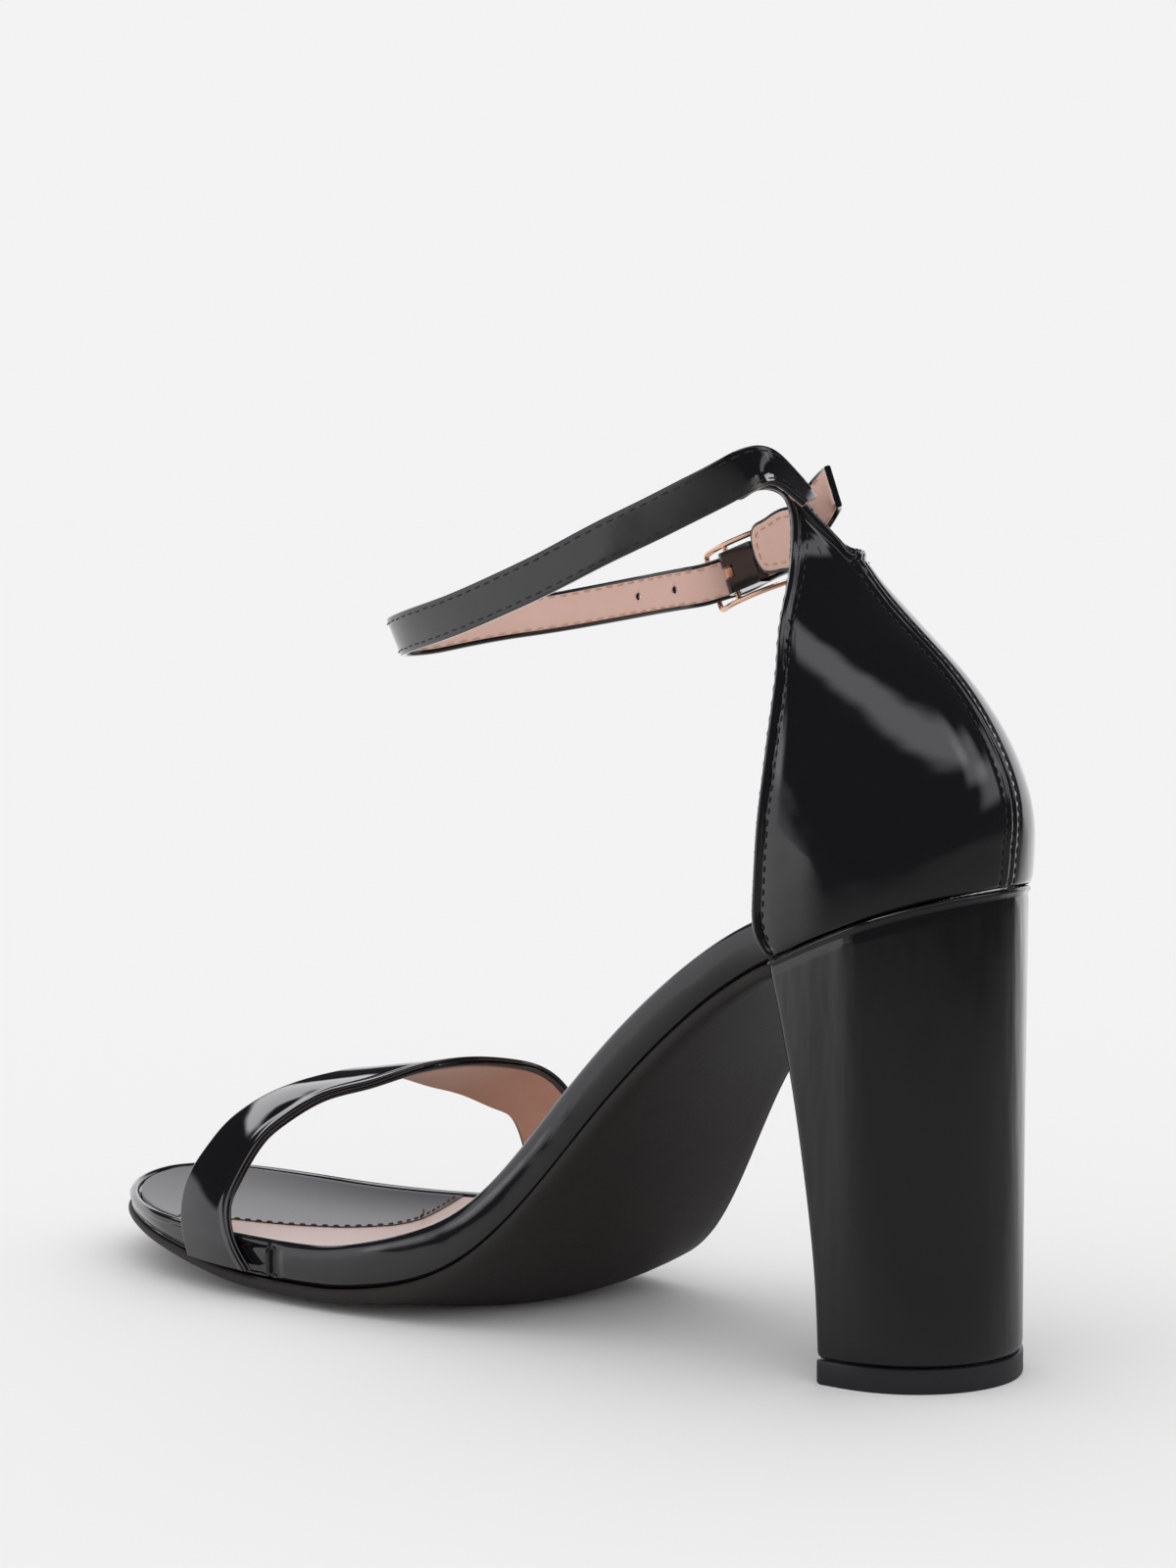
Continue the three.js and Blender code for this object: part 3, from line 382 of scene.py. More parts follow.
def stacked(levels):
    """A closed skin over grids of one size: the first and last are covered, the rims walled."""
    rows, cols = levels[0].shape[:2]
    rim = rim_of(rows, cols)
    points = [levels[0].reshape(-1, 3), levels[-1].reshape(-1, 3)]
    size = rows * cols
    faces = grid_faces(rows, cols) + grid_faces(rows, cols, size, flip=True)
    loops = [rim]
    start = 2 * size
    for level in levels[1:-1]:
        points.append(level.reshape(-1, 3)[rim])
        loops.append(np.arange(start, start + len(rim)))
        start += len(rim)
    loops.append(rim + size)
    for upper, lower in zip(loops[:-1], loops[1:]):
        quads = np.stack([np.roll(upper, -1), upper, lower, np.roll(lower, -1)], -1)
        faces += quads.tolist()
    return np.concatenate(points), faces


def swept(rings, closed_path=False):
    """Rings of one count joined end to end, closed over at both ends."""
    rings = np.asarray(rings)
    rows, cols = rings.shape[:2]
    points = rings.reshape(-1, 3)
    faces = grid_faces(rows, cols, closed=True)
    first, last = np.arange(cols), np.arange(cols) + (rows - 1) * cols
    if closed_path:
        faces += np.stack([last, np.roll(last, -1), np.roll(first, -1), first], -1).tolist()
        return points, faces
    points = np.concatenate([points, rings[[0, -1]].mean(axis=1)])
    for ring, centre, turn in ((first, rows * cols, -1), (last, rows * cols + 1, 1)):
        faces += [(int(a), int(b), centre) for a, b in zip(ring, np.roll(ring, -turn))]
    return points, faces


def tube(path, radius, sides, closed=False, up=(0, 0, 1)):
    """A rod of one radius, or of a radius for each point, along a path."""
    path = np.asarray(path, float)
    if closed:
        tangent = unit(np.roll(path, -1, 0) - np.roll(path, 1, 0))
    else:
        tangent = unit(np.gradient(path, axis=0))
    side = unit(np.cross(tangent, np.asarray(up, float)))
    rise = np.cross(side, tangent)
    turn = np.linspace(0, 2 * np.pi, sides, endpoint=False)
    radius = np.broadcast_to(np.asarray(radius, float).reshape(-1, 1, 1), (len(path), 1, 1))
    ring = np.cos(turn)[None, :, None] * side[:, None] + np.sin(turn)[None, :, None] * rise[:, None]
    return swept(path[:, None] + ring * radius, closed)


def joined(parts):
    """One list of points and faces out of several."""
    points, faces, start = [], [], 0
    for p, f in parts:
        points.append(np.asarray(p))
        faces += [tuple(i + start for i in face) for face in f]
        start += len(p)
    return np.concatenate(points), faces


def grid_normals(grid):
    along_rows = np.gradient(grid, axis=0)
    along_cols = np.gradient(grid, axis=1)
    return unit(np.cross(along_rows, along_cols))


def layer(grid, away, top, low):
    """A closed skin between two heights over one grid."""
    return stacked([grid + away * top[..., None], grid + away * low[..., None]])


def stitch_row(path, normal, length, space, radius):
    """Thread between its holes: each stitch is a short bowed rod that dips at both ends."""
    path, normal = np.asarray(path, float), unit(np.asarray(normal, float))
    run = np.r_[0, np.cumsum(np.linalg.norm(np.diff(path, axis=0), axis=1))]
    count = max(1, int(run[-1] / (length + space)))
    pitch = run[-1] / count
    rod = pitch - space
    parts = []
    bow = np.linspace(0, 1, 6)
    for i in range(count):
        at = pitch * (i + 0.5) + (bow - 0.5) * rod
        middle = np.stack([np.interp(at, run, path[:, k]) for k in range(3)], -1)
        away = unit(np.stack([np.interp(at, run, normal[:, k]) for k in range(3)], -1))
        dip = (2 * bow - 1) ** 4
        height = radius * 0.55 - STITCH_SINK * dip
        sway = STITCH_WANDER * math.sin(i * 2.399) * np.cross(unit(np.gradient(middle, axis=0)), away)
        thick = radius * (1 - 0.35 * dip)
        parts.append(tube(middle + away * height[:, None] + sway, thick, STITCH_SIDES, up=away[2]))
    return joined(parts)


# Footbed and sole shape

foot_at = table_curves(FOOT_ROWS)


def foot_rise(x, y, depth):
    """Height of the footbed's top at a plan position, and the station it has once the bend of
    the ball is turned across the foot. The raised medial edge fades with depth."""
    at = (x + HEEL_SETBACK) / SHOE_LENGTH
    start = 1 / (1 + np.exp((BALL_FROM - at) / BALL_FROM_SPREAD))
    stop = 1 / (1 + np.exp((at - BALL_TO) / BALL_TO_SPREAD))
    turned = at - BALL_TURN * y * start * stop / SHOE_LENGTH
    here = foot_at(at)
    half = across(np.where(y > 0, here["medial"], here["lateral"]))
    share = np.minimum(1, np.abs(y) / half)
    kept = mix(1, LIP_KEPT, depth / (FOOTBED_DEPTH + GAP + OUTSOLE_THICKNESS))
    lip = np.where(y > 0, here["lip"] * kept, 0)
    return above(foot_at(turned)["rise"] + (here["crown"] + lip) * share ** 2), turned


def thinned(x, depth):
    """The sole gets thinner towards the toe, all but its rim."""
    toe = ease(x, along(THIN_FROM), along(THIN_TO))
    core = min(max(0, depth - RIM_DEPTH), FOOTBED_DEPTH - RIM_DEPTH)
    sole = max(0, depth - FOOTBED_DEPTH - GAP)
    return depth - toe * (core * THIN_FOOTBED + sole * THIN_OUTSOLE)


def on_foot(x, y, full_depth):
    """Point of the sole at plan position x, y and at a depth square to the footbed."""
    depth = thinned(x, full_depth)
    z, turned = foot_rise(x, y, full_depth)
    step = 0.004
    fall = above(foot_at(turned - step)["rise"] - foot_at(turned + step)["rise"]) / (2 * step * SHOE_LENGTH)
    tilt = np.arctan(fall)
    square = ease(x, along(SQUARE_FROM), along(SQUARE_TO))
    back = depth * np.sin(tilt) * square
    down = depth * mix(1 / np.cos(tilt), np.cos(tilt), square)
    return np.stack(np.broadcast_arrays(x - back, y, z - down), -1)


def outline_out(side, at):
    """How far one edge of the footbed lies from the middle line, rounded at heel and toe."""
    here = foot_at(at)
    half = here["medial"] if side > 0 else here["lateral"]
    behind = np.clip((SEAT_TURN - at) / (SEAT_TURN - SEAT_BACK), 0, 1)
    ahead = np.clip((at - TOE_TURN) / (TOE_TIP - TOE_TURN), 0, 1)
    keep = np.sqrt(1 - ahead ** 2)
    out = side * half * np.sqrt(1 - behind ** 2)
    return np.where(ahead > 0, mix(TOE_OUT, side * half, keep), out)


def side_shift(at):
    """How far ahead the medial edge, and how far back the lateral one, is read at a station."""
    return SIDE_SHIFT * ease(at, SHIFT_FROM, SHIFT_FULL) * (1 - ease(at, SHIFT_FADE, SHIFT_TO))


def sole_stations(turn_steps=26, middle_steps=120, cover=False):
    """Stations along the sole, close together at its ends and, for the cover, at its lip."""
    turn = np.linspace(0, np.pi / 2, turn_steps + 1)
    back = mix(SEAT_TURN, SEAT_BACK, np.cos(turn[:-1]))
    middle = np.linspace(SEAT_TURN, TOE_TURN, middle_steps + 1)
    toe = mix(TOE_TURN, TOE_TIP, np.sin(turn[1:]))
    at = np.r_[back, middle, toe]
    if cover:
        edge = COVER_EDGE + np.linspace(-5.0, 4.0, 61) / SHOE_LENGTH
        at = np.sort(np.r_[at[(at < edge[0] - 0.004) | (at > edge[-1] + 0.004)], edge])
    return at


def sole_outline(at):
    """Medial and lateral edge points in plan, and their outward directions."""
    sides = []
    for side in (1, -1):
        here = at + side * side_shift(at)
        sides.append(np.stack([along(here), across(outline_out(side, here))], -1))
    ends = []
    for k, points in enumerate(sides):
        before = np.concatenate([sides[1 - k][1:2], points[:-1]])
        after = np.concatenate([points[1:], sides[1 - k][-2:-1]])
        run = unit(after - before)
        turn = 1 if k == 0 else -1
        ends.append((points, np.stack([-run[:, 1] * turn, run[:, 0] * turn], -1)))
    return ends


def sole_layer(at, edge, cross=14, recess=None, floor=False):
    """Grids of one layer of the sole, one for each row of its edge table."""
    (medial, medial_away), (lateral, lateral_away) = sole_outline(at)
    share = np.linspace(0, 1, cross + 1)[None, :, None]
    levels = []
    for k, (inset, depth) in enumerate(edge):
        back = inset + (recess(at, k) if recess else 0)
        back = np.broadcast_to(back, at.shape)[:, None]
        inner, outer = medial - medial_away * back, lateral - lateral_away * back
        plan = mix(outer[:, None], inner[:, None], share)
        level = on_foot(plan[..., 0], plan[..., 1], depth)
        if floor:
            level[..., 2] = np.maximum(0, level[..., 2])
        levels.append(level)
    return levels


FOOTBED_EDGE = [(2.9, RIM_DEPTH), (2.6, RIM_DEPTH - 0.1), (2.3, 0.1), (1.3, -0.15), (0.45, 0.8), (0, 2.8),
                (0, 5.2), (0.5, 7.2), (1.4, FOOTBED_DEPTH)]
SOCK_EDGE = [(3.5, 0), (3.2, 0.2), (3.2, SOCK_THICKNESS)]
# Border of the toe patch in plan, from its lateral end to its medial end
PATCH_BORDER = [(147.5, -40), (146, -27), (144.9, -21.4), (143.6, -15), (142.6, -9.1), (142.7, -4.6),
                (143.9, 0), (147, 4.7), (150.5, 8.9), (158.4, 14.6), (165.3, 18.3), (171.6, 21.3),
                (176.5, 25), (179.5, 29), (181, 34), (182, 40)]
PATCH_LIFT = 0.3
PATCH_STITCH_BACK = 1.1
LOOSE_THREAD_AT = -9
LOOSE_THREAD = [(0, 0, -0.1), (-0.5, 0.2, 0.35), (-0.9, 0.1, 0.8), (-0.7, -0.5, 1.15), (-0.2, -0.9, 1.0),
                (0.2, -1.3, 1.35)]
OUTSOLE_TOP = FOOTBED_DEPTH + GAP
OUTSOLE_EDGE = [(0.9, OUTSOLE_TOP), (0.5, OUTSOLE_TOP + 0.5), (0.5, OUTSOLE_TOP + OUTSOLE_THICKNESS - 0.5),
                (1.1, OUTSOLE_TOP + OUTSOLE_THICKNESS)]


# Materials
NUMBER, PLACE, COLOUR = "NodeSocketFloat", "NodeSocketVector", "NodeSocketColor"


class Finish:
    """A procedural material around one Principled shader."""

    def __init__(self, name, **sockets):
        self.material = bpy.data.materials.new(name)
        self.material.use_nodes = True
        self.tree = self.material.node_tree
        self.shader = self.tree.nodes["Principled BSDF"]
        self.put(self.shader, sockets)
        self.place = self.add("ShaderNodeTexCoord").outputs["Object"]

    def put(self, node, values):
        for key, value in values.items():
            socket = node.inputs[key]
            if isinstance(value, bpy.types.NodeSocket):
                self.tree.links.new(value, socket)
            elif value is not None:
                socket.default_value = value

    def add(self, kind, settings=None, **inputs):
        node = self.tree.nodes.new(kind)
        for key, value in (settings or {}).items():
            setattr(node, key, value)
        self.put(node, inputs)
        return node

    def group(self, tree, **inputs):
        node = self.tree.nodes.new("ShaderNodeGroup")
        node.node_tree = tree
        self.put(node, {k.replace("_", " "): v for k, v in inputs.items()})
        return node.outputs

    def maths(self, operation, *terms, clamp=False):
        node = self.add("ShaderNodeMath", {"operation": operation, "use_clamp": clamp})
        self.put(node, dict(enumerate(terms)))
        return node.outputs[0]

    def stretched(self, place, factors):
        """A place with its axes scaled, which draws a pattern out along one of them."""
        node = self.add("ShaderNodeVectorMath", {"operation": "MULTIPLY"})
        self.put(node, {0: place, 1: factors})
        return node.outputs[0]

    def towards(self, direction):
        """How far a place lies in one direction."""
        node = self.add("ShaderNodeVectorMath", {"operation": "DOT_PRODUCT"})
        self.put(node, {0: self.place, 1: direction})
        return node.outputs["Value"]

    def bump(self, height, distance):
        node = self.add("ShaderNodeBump", Strength=1.0, Distance=distance, Height=height)
        return node.outputs["Normal"]

    def ramp(self, value, start, end, low, high):
        node = self.add("ShaderNodeMapRange", {"interpolation_type": "SMOOTHSTEP"}, Value=value)
        self.put(node, {"From Min": start, "From Max": end, "To Min": low, "To Max": high})
        return node.outputs["Result"]

    def feed(self, **links):
        self.put(self.shader, {key.replace("_", " "): socket for key, socket in links.items()})


class Effect(Finish):
    """A shader node group with named inputs and outputs, built once and used by several finishes."""

    def __init__(self, name, inputs, outputs):
        self.tree = bpy.data.node_groups.new(name, "ShaderNodeTree")
        for label, kind, value in inputs:
            socket = self.tree.interface.new_socket(name=label, in_out="INPUT", socket_type=kind)
            if value is not None:
                socket.default_value = value
        for label, kind in outputs:
            self.tree.interface.new_socket(name=label, in_out="OUTPUT", socket_type=kind)
        self.entry = self.tree.nodes.new("NodeGroupInput").outputs
        self.exit = self.tree.nodes.new("NodeGroupOutput").inputs

    def noise(self, scale, detail, rough, stretch=None):
        place = self.stretched(self.entry["Place"], stretch) if stretch else self.entry["Place"]
        node = self.add("ShaderNodeTexNoise", Vector=place, Scale=scale, Detail=detail, Roughness=rough)
        return node.outputs["Fac"]

    def cells(self, scale):
        """Distance to the middle of the nearest of many small cells."""
        node = self.add("ShaderNodeTexVoronoi", {"feature": "F1"}, Vector=self.entry["Place"], Scale=scale)
        return node.outputs["Distance"]

    def out(self, label, value):
        self.tree.links.new(value, self.exit[label])


def soft_swell():
    """Slow waves and small dents of a lacquered skin over padding."""
    inputs = [("Place", PLACE, None), ("Wave size", NUMBER, 60.0), ("Dent share", NUMBER, 0.3),
              ("Orange peel", NUMBER, 0.02)]
    fx = Effect("soft swell", inputs, [("Height", NUMBER)])
    wave_size = fx.entry["Wave size"]
    wave = fx.noise(wave_size, 1.0, 0.4)
    dent = fx.noise(fx.maths("MULTIPLY", wave_size, 3.3), 1.0, 0.4)
    peel = fx.noise(fx.maths("MULTIPLY", wave_size, 30.0), 1.0, 0.5)
    dented = fx.maths("ADD", wave, fx.maths("MULTIPLY", dent, fx.entry["Dent share"]))
    fx.out("Height", fx.maths("ADD", dented, fx.maths("MULTIPLY", peel, fx.entry["Orange peel"])))
    return fx.tree


def fine_grain():
    """Pebbled leather grain with a little colour change from place to place."""
    inputs = [("Place", PLACE, None), ("Grain size", NUMBER, 900.0), ("Light colour", COLOUR, None),
              ("Dark colour", COLOUR, None)]
    fx = Effect("fine grain", inputs, [("Height", NUMBER), ("Colour", COLOUR)])
    grain_size = fx.entry["Grain size"]
    pebbles = fx.cells(grain_size)
    grit = fx.noise(fx.maths("MULTIPLY", grain_size, 2.1), 3.0, 0.6)
    fx.out("Height", fx.maths("ADD", pebbles, fx.maths("MULTIPLY", grit, 0.6)))
    mottle = fx.noise(fx.maths("MULTIPLY", grain_size, 0.07), 4.0, 0.6)
    blend = fx.add("ShaderNodeMix", {"data_type": "RGBA"}, Factor=mottle)
    fx.tree.links.new(fx.entry["Dark colour"], blend.inputs[6])
    fx.tree.links.new(fx.entry["Light colour"], blend.inputs[7])
    fx.out("Colour", blend.outputs[2])
    return fx.tree


def handling():
    """Faint wipe marks and specks of dust that dull a gloss here and there."""
    inputs = [("Place", PLACE, None), ("Clean", NUMBER, 0.05), ("Dull", NUMBER, 0.3)]
    fx = Effect("handling", inputs, [("Roughness", NUMBER)])
    wipes = fx.noise(45.0, 4.0, 0.65, stretch=(1.0, 1.0, 2.6))
    patch = fx.maths("MULTIPLY_ADD", wipes, 2.4, -1.25, clamp=True)
    dust = fx.maths("LESS_THAN", fx.cells(700.0), 0.06)
    amount = fx.maths("ADD", fx.maths("MULTIPLY", patch, 0.35), fx.maths("MULTIPLY", dust, 0.5), clamp=True)
    spread = fx.maths("SUBTRACT", fx.entry["Dull"], fx.entry["Clean"])
    fx.out("Roughness", fx.maths("MULTIPLY_ADD", amount, spread, fx.entry["Clean"]))
    return fx.tree


SWELL, GRAIN, HANDLING = soft_swell(), fine_grain(), handling()
ORANGE_PEEL = 0.003
COAT_ROUGHNESS = 0.05
CLEAN_PATENT, DULL_PATENT = 0.07, 0.42
METAL_DULLING = 0.2


def patent(name, colour, wave, depth, dents=0.1, drawn_out=1.0):
    """Lacquered leather: a clear coat over black, in slow waves that may be drawn out upward."""
    skin = Finish(name, **{"Base Color": (*colour, 1), "IOR": 1.5, "Specular IOR Level": 0.35,
                           "Coat Weight": 1.0, "Coat IOR": 1.5, "Coat Roughness": COAT_ROUGHNESS})
    place = skin.stretched(skin.place, (1.0, 1.0, 1.0 / drawn_out))
    swell = skin.group(SWELL, Place=place, Wave_size=wave, Dent_share=dents, Orange_peel=ORANGE_PEEL)
    marks = skin.group(HANDLING, Place=skin.place, Clean=CLEAN_PATENT, Dull=DULL_PATENT)
    normal = skin.bump(swell["Height"], depth * MM)
    skin.feed(Normal=normal, Coat_Normal=normal, Roughness=marks["Roughness"])
    return skin.material


def leather(name, light, dark, grain, relief, rough, coat=0.0):
    hide = Finish(name, **{"Coat Weight": coat, "Coat Roughness": 0.3, "Specular IOR Level": 0.4,
                           "Roughness": rough})
    pebble = hide.group(GRAIN, Place=hide.place, Grain_size=grain, Light_colour=(*light, 1),
                        Dark_colour=(*dark, 1))
    hide.feed(Base_Color=pebble["Colour"], Normal=hide.bump(pebble["Height"], relief * MM))
    return hide.material


def polished_metal(name, colour, rough):
    metal = Finish(name, **{"Base Color": (*colour, 1), "Metallic": 1.0})
    marks = metal.group(HANDLING, Place=metal.place, Clean=rough, Dull=rough + METAL_DULLING)
    metal.feed(Roughness=marks["Roughness"])
    return metal.material


PATENT = patent("black patent", (0.006, 0.006, 0.007), 38.0, 0.9)
STRAP_PATENT = patent("black patent of the straps", (0.006, 0.006, 0.007), 70.0, 0.35)
RIM_PATENT = patent("black cover of the footbed", (0.007, 0.007, 0.008), 55.0, 0.6)
HEEL_COVER = patent("black cover of the heel", (0.0055, 0.0055, 0.0062), 110.0, 0.42, 0.25, 5.0)
SOCK = leather("black insole sock", (0.02, 0.02, 0.022), (0.012, 0.012, 0.014), 1500.0, 0.012, 0.28, 0.5)
LINING = leather("beige lining", (0.72, 0.49, 0.42), (0.64, 0.42, 0.355), 1400.0, 0.03, 0.52)
# The vamp strap's lining is the same beige leather made darker and redder: painted shade for the lining that
# lies under the strap
SHADED_VAMP_LINING = leather("beige lining of the vamp strap darkened as painted shade", (0.50, 0.29, 0.215), (0.42, 0.235, 0.17),
                      1400.0, 0.03, 0.45)
INSOLE_LINING = leather("beige insole lining", (0.72, 0.56, 0.52), (0.62, 0.46, 0.42),
                        1300.0, 0.02, 0.4, 0.15)
TIP_RUBBER = leather("heel tip rubber", (0.020, 0.020, 0.023), (0.014, 0.014, 0.016),
                     1500.0, 0.012, 0.33, 0.25)
RUBBER = leather("outsole rubber", (0.022, 0.017, 0.015), (0.012, 0.010, 0.009), 1100.0, 0.03, 0.55)
ROSE_GOLD = polished_metal("rose gold", (0.86, 0.56, 0.42), 0.16)
BLACK_THREAD = leather("black thread", (0.03, 0.03, 0.032), (0.012, 0.012, 0.013), 3000.0, 0.05, 0.5)
BROWN_THREAD = leather("brown thread", (0.20, 0.085, 0.05), (0.07, 0.03, 0.02), 3000.0, 0.05, 0.6)
BEIGE_THREAD = leather("beige thread", (0.62, 0.38, 0.28), (0.45, 0.26, 0.19), 3000.0, 0.05, 0.6)


# Footbed, sock, outsole

def cover_recess(at):
    """How far the skin of the footbed lies inside its full outline, along the length: the puffed
    rear cover, the open groove ahead of it, the turned lip of the front cover, the front cover."""
    ahead = (at - COVER_EDGE) * SHOE_LENGTH
    front = COVER_STEP * ease(ahead, -0.3, 0.9)
    puff = soft(ahead, *COVER_PUFF) * (ahead < 0)
    return front + soft(ahead, *COVER_GROOVE) - soft(ahead, *COVER_LIP) + puff


def build_sole():
    profile = path_through(FOOTBED_EDGE, 30)
    round_way = np.cumsum(np.r_[0, np.linalg.norm(np.diff(profile, axis=0), axis=1)])
    upper_fade = ease(round_way, 3.6, 5.2)
    lower_fade = 1 - ease(round_way, round_way[-1] - 1.6, round_way[-1] - 0.4)
    outside = upper_fade * lower_fade
    levels = sole_layer(sole_stations(cover=True), profile,
                        recess=lambda at, k: cover_recess(at) * outside[k])
    make_piece("footbed_cover", *stacked(levels), RIM_PATENT, node="footbed", slot="cover", weld=True)
    levels = sole_layer(sole_stations(), path_through(OUTSOLE_EDGE, 12), floor=True)
    start = np.argmax(levels[0][:, 7, 0] > along(BREAST_AT))
    levels = [level[start:] for level in levels]
    for level in levels:
        level[0, :, 0] = along(BREAST_AT)
    make_piece("outsole", *stacked(levels), RUBBER, node="outsole", slot="rubber", weld=True)


def sock_plan(inset):
    """Plan position inside the rim at a station and a share of the way from lateral to medial."""
    at = sole_stations(60, 400)
    (medial, medial_away), (lateral, lateral_away) = sole_outline(at)
    inner, outer = medial - medial_away * inset, lateral - lateral_away * inset

    def place(where, share):
        ends = [np.stack([np.interp(where, at, line[:, k]) for k in (0, 1)], -1) for line in (outer, inner)]
        return mix(ends[0], ends[1], share[..., None])
    return place


def patch_border(place, share):
    """Station where the stitched border of the toe patch crosses each share of the width."""
    line = np.array(PATCH_BORDER)
    low, high = np.full_like(share, 0.5), np.full_like(share, 0.99)
    for _ in range(30):
        middle = (low + high) / 2
        plan = place(middle, share)
        behind = plan[..., 0] < np.interp(plan[..., 1], line[:, 1], line[:, 0])
        low, high = np.where(behind, middle, low), np.where(behind, high, middle)
    return middle


def build_sock():
    """Beige lining all over the footbed, and a patent patch under the toes stitched on top."""
    share = np.linspace(0, 1, 45)
    lining_run = (np.sin(np.linspace(-np.pi / 2, np.pi / 2, 150)) / 2 + 0.5)[:, None]
    patch_run = np.sin(np.linspace(0, np.pi / 2, 110))[:, None]
    lining_levels, patch_levels = [], []
    for inset, depth in path_through(SOCK_EDGE, 6):
        place = sock_plan(inset)
        plan = place(mix(SEAT_BACK, TOE_TIP, lining_run) + 0 * share, share[None])
        lining_depth = PATCH_LIFT + depth * (1 - PATCH_LIFT / SOCK_THICKNESS)
        lining_levels.append(on_foot(plan[..., 0], plan[..., 1], lining_depth))
        plan = place(mix(patch_border(place, share), TOE_TIP, patch_run), share[None])
        patch_levels.append(on_foot(plan[..., 0], plan[..., 1], depth * PATCH_LIFT / SOCK_THICKNESS))
    make_piece("insole_lining", *stacked(lining_levels), INSOLE_LINING, node="sock", slot="lining",
               weld=True)
    make_piece("insole_toe_patch", *stacked(patch_levels), SOCK, slot="sock", weld=True)
    place = sock_plan(SOCK_EDGE[1][0] + PATCH_STITCH_INSET)
    plan = place(patch_border(place, share) + PATCH_STITCH_BACK / SHOE_LENGTH, share)
    path = on_foot(plan[:, 0], plan[:, 1], -0.02)
    up = np.tile([0.0, 0.0, 1.0], (len(path), 1))
    make_piece("toe_patch_stitches", *stitch_row(path, up, *PATCH_STITCH), BROWN_THREAD, slot="lining")
    tail = path[np.argmin(np.abs(path[:, 1] - LOOSE_THREAD_AT))] + np.array(LOOSE_THREAD)
    make_piece("loose_thread_end", *tube(path_through(tail, 24), 0.2, 7), BROWN_THREAD, slot="lining")


# Heel

heel_at = table_curves(HEEL_ROWS)
# How far the cover stands out at shares of the way down: its lip, and its turned-in foot
HEEL_LIP = [(0, -0.4), (0.0015, -0.05), (0.004, 0.2), (0.0075, 0.32), (0.011, 0.3), (0.0145, 0.12),
            (0.018, -0.12), (0.023, -0.1), (0.03, 0)]
HEEL_FOOT = [(0.994, -0.1), (1, -0.45)]
# How far the rubber tip stands out at heights over the floor
TIP_EDGE = [(-0.3, TIP_HEIGHT), (TIP_FLARE - 0.05, TIP_HEIGHT - 0.12), (TIP_FLARE, TIP_HEIGHT - 0.35),
            (TIP_FLARE, 0.5), (TIP_FLARE - 0.15, 0.15), (-0.1, 0)]


def heel_rows(down, flare, height, straight=14, turn=34, cross=16):
    """One level of the heel block: rows from its flat breast to its round back."""
    section = heel_at(down)
    front = float(along(section["front"])) + flare
    back = float(along(section["back"])) - flare
    nose = float(section["nose"]) * SHOE_LENGTH
    medial, lateral = float(across(section["medial"])) + flare, float(across(section["lateral"])) + flare
    corner = np.linspace(0, np.pi / 2, 6)[:-1]
    x = [front - HEEL_CHAMFER * (1 - math.cos(a)) for a in corner]
    cut = [HEEL_CHAMFER * (1 - math.sin(a)) for a in corner]
    run = np.linspace(front - HEEL_CHAMFER, back + nose, straight)
    angle = np.linspace(0, np.pi / 2, turn + 1)[1:]
    x = np.r_[x, run, back + nose - nose * np.sin(angle)]
    cut = np.r_[cut, np.zeros(straight + turn)]
    keep = np.r_[np.ones(5 + straight), np.cos(angle)]
    share = np.linspace(0, 1, cross + 1)
    y = mix((-lateral * keep + cut)[:, None], (medial * keep - cut)[:, None], share)
    xx = np.broadcast_to(x[:, None], y.shape)
    return np.stack([xx, y, np.broadcast_to(height(xx, y), y.shape)], -1)


def seat_line(x, y):
    return on_foot(x, y, FOOTBED_DEPTH + GAP)[..., 2]


def build_heel():
    foundation = TIP_HEIGHT + GAP
    body = [(down, 0) for down in np.linspace(0.05, 0.985, 40)]
    levels = []
    for down, flare in HEEL_LIP + body + HEEL_FOOT:
        levels.append(heel_rows(down, flare, lambda x, y, d=down: mix(seat_line(x, y), foundation, d)))
    make_piece("heel_block", *stacked(levels), HEEL_COVER, node="heel", slot="cover", weld=True, crease=50)
    levels = [heel_rows(1, flare, lambda x, y, z=z: z) for flare, z in TIP_EDGE]
    make_piece("heel_tip_rubber", *stacked(levels), TIP_RUBBER, node="heel_tip", slot="rubber", weld=True)


# Counter

TOP_LIFT = 8
COLLAR_BACK = 1.545
SEAM_GRID_ROWS, WING_GRID_ROWS, GRID_COLUMNS = 150, 70, 70
SEAM_STITCH_ROWS = 140
SEAT_EDGE_OUT = 24.0
EDGE_SAMPLES = 600
counter_at = table_curves(COUNTER_ROWS)
flank_at = {1: table_curves(MEDIAL_ROWS), -1: table_curves(LATERAL_ROWS)}


def counter_point(side, turn, lift):
    """Point of a flank: turn is 0 at the back seam and a quarter circle where the nose ends."""
    row, flank = counter_at(lift), flank_at[side](lift)
    nose = flank["nose"] * SHOE_LENGTH
    round_part = np.clip(turn, -np.pi / 2, np.pi / 2)
    run = nose * (1 - np.cos(round_part) + np.maximum(0, turn - np.pi / 2))
    x = along(row["back"]) + run
    y = side * across(flank["half"]) * np.sin(round_part)
    seat = seat_line(x, y) + GAP
    return np.stack([x, y, mix(seat, above(row["up"]) - row["drop"] * run, ease(lift, 0, 1))], -1)


def turn_at(side, x, lift):
    """The turn that a flank has at a place along the shoe."""
    row, flank = counter_at(lift), flank_at[side](lift)
    share = np.maximum(0, x - along(row["back"])) / (flank["nose"] * SHOE_LENGTH)
    return np.where(share < 1, np.arccos(1 - np.minimum(1, share)), np.pi / 2 + share - 1)


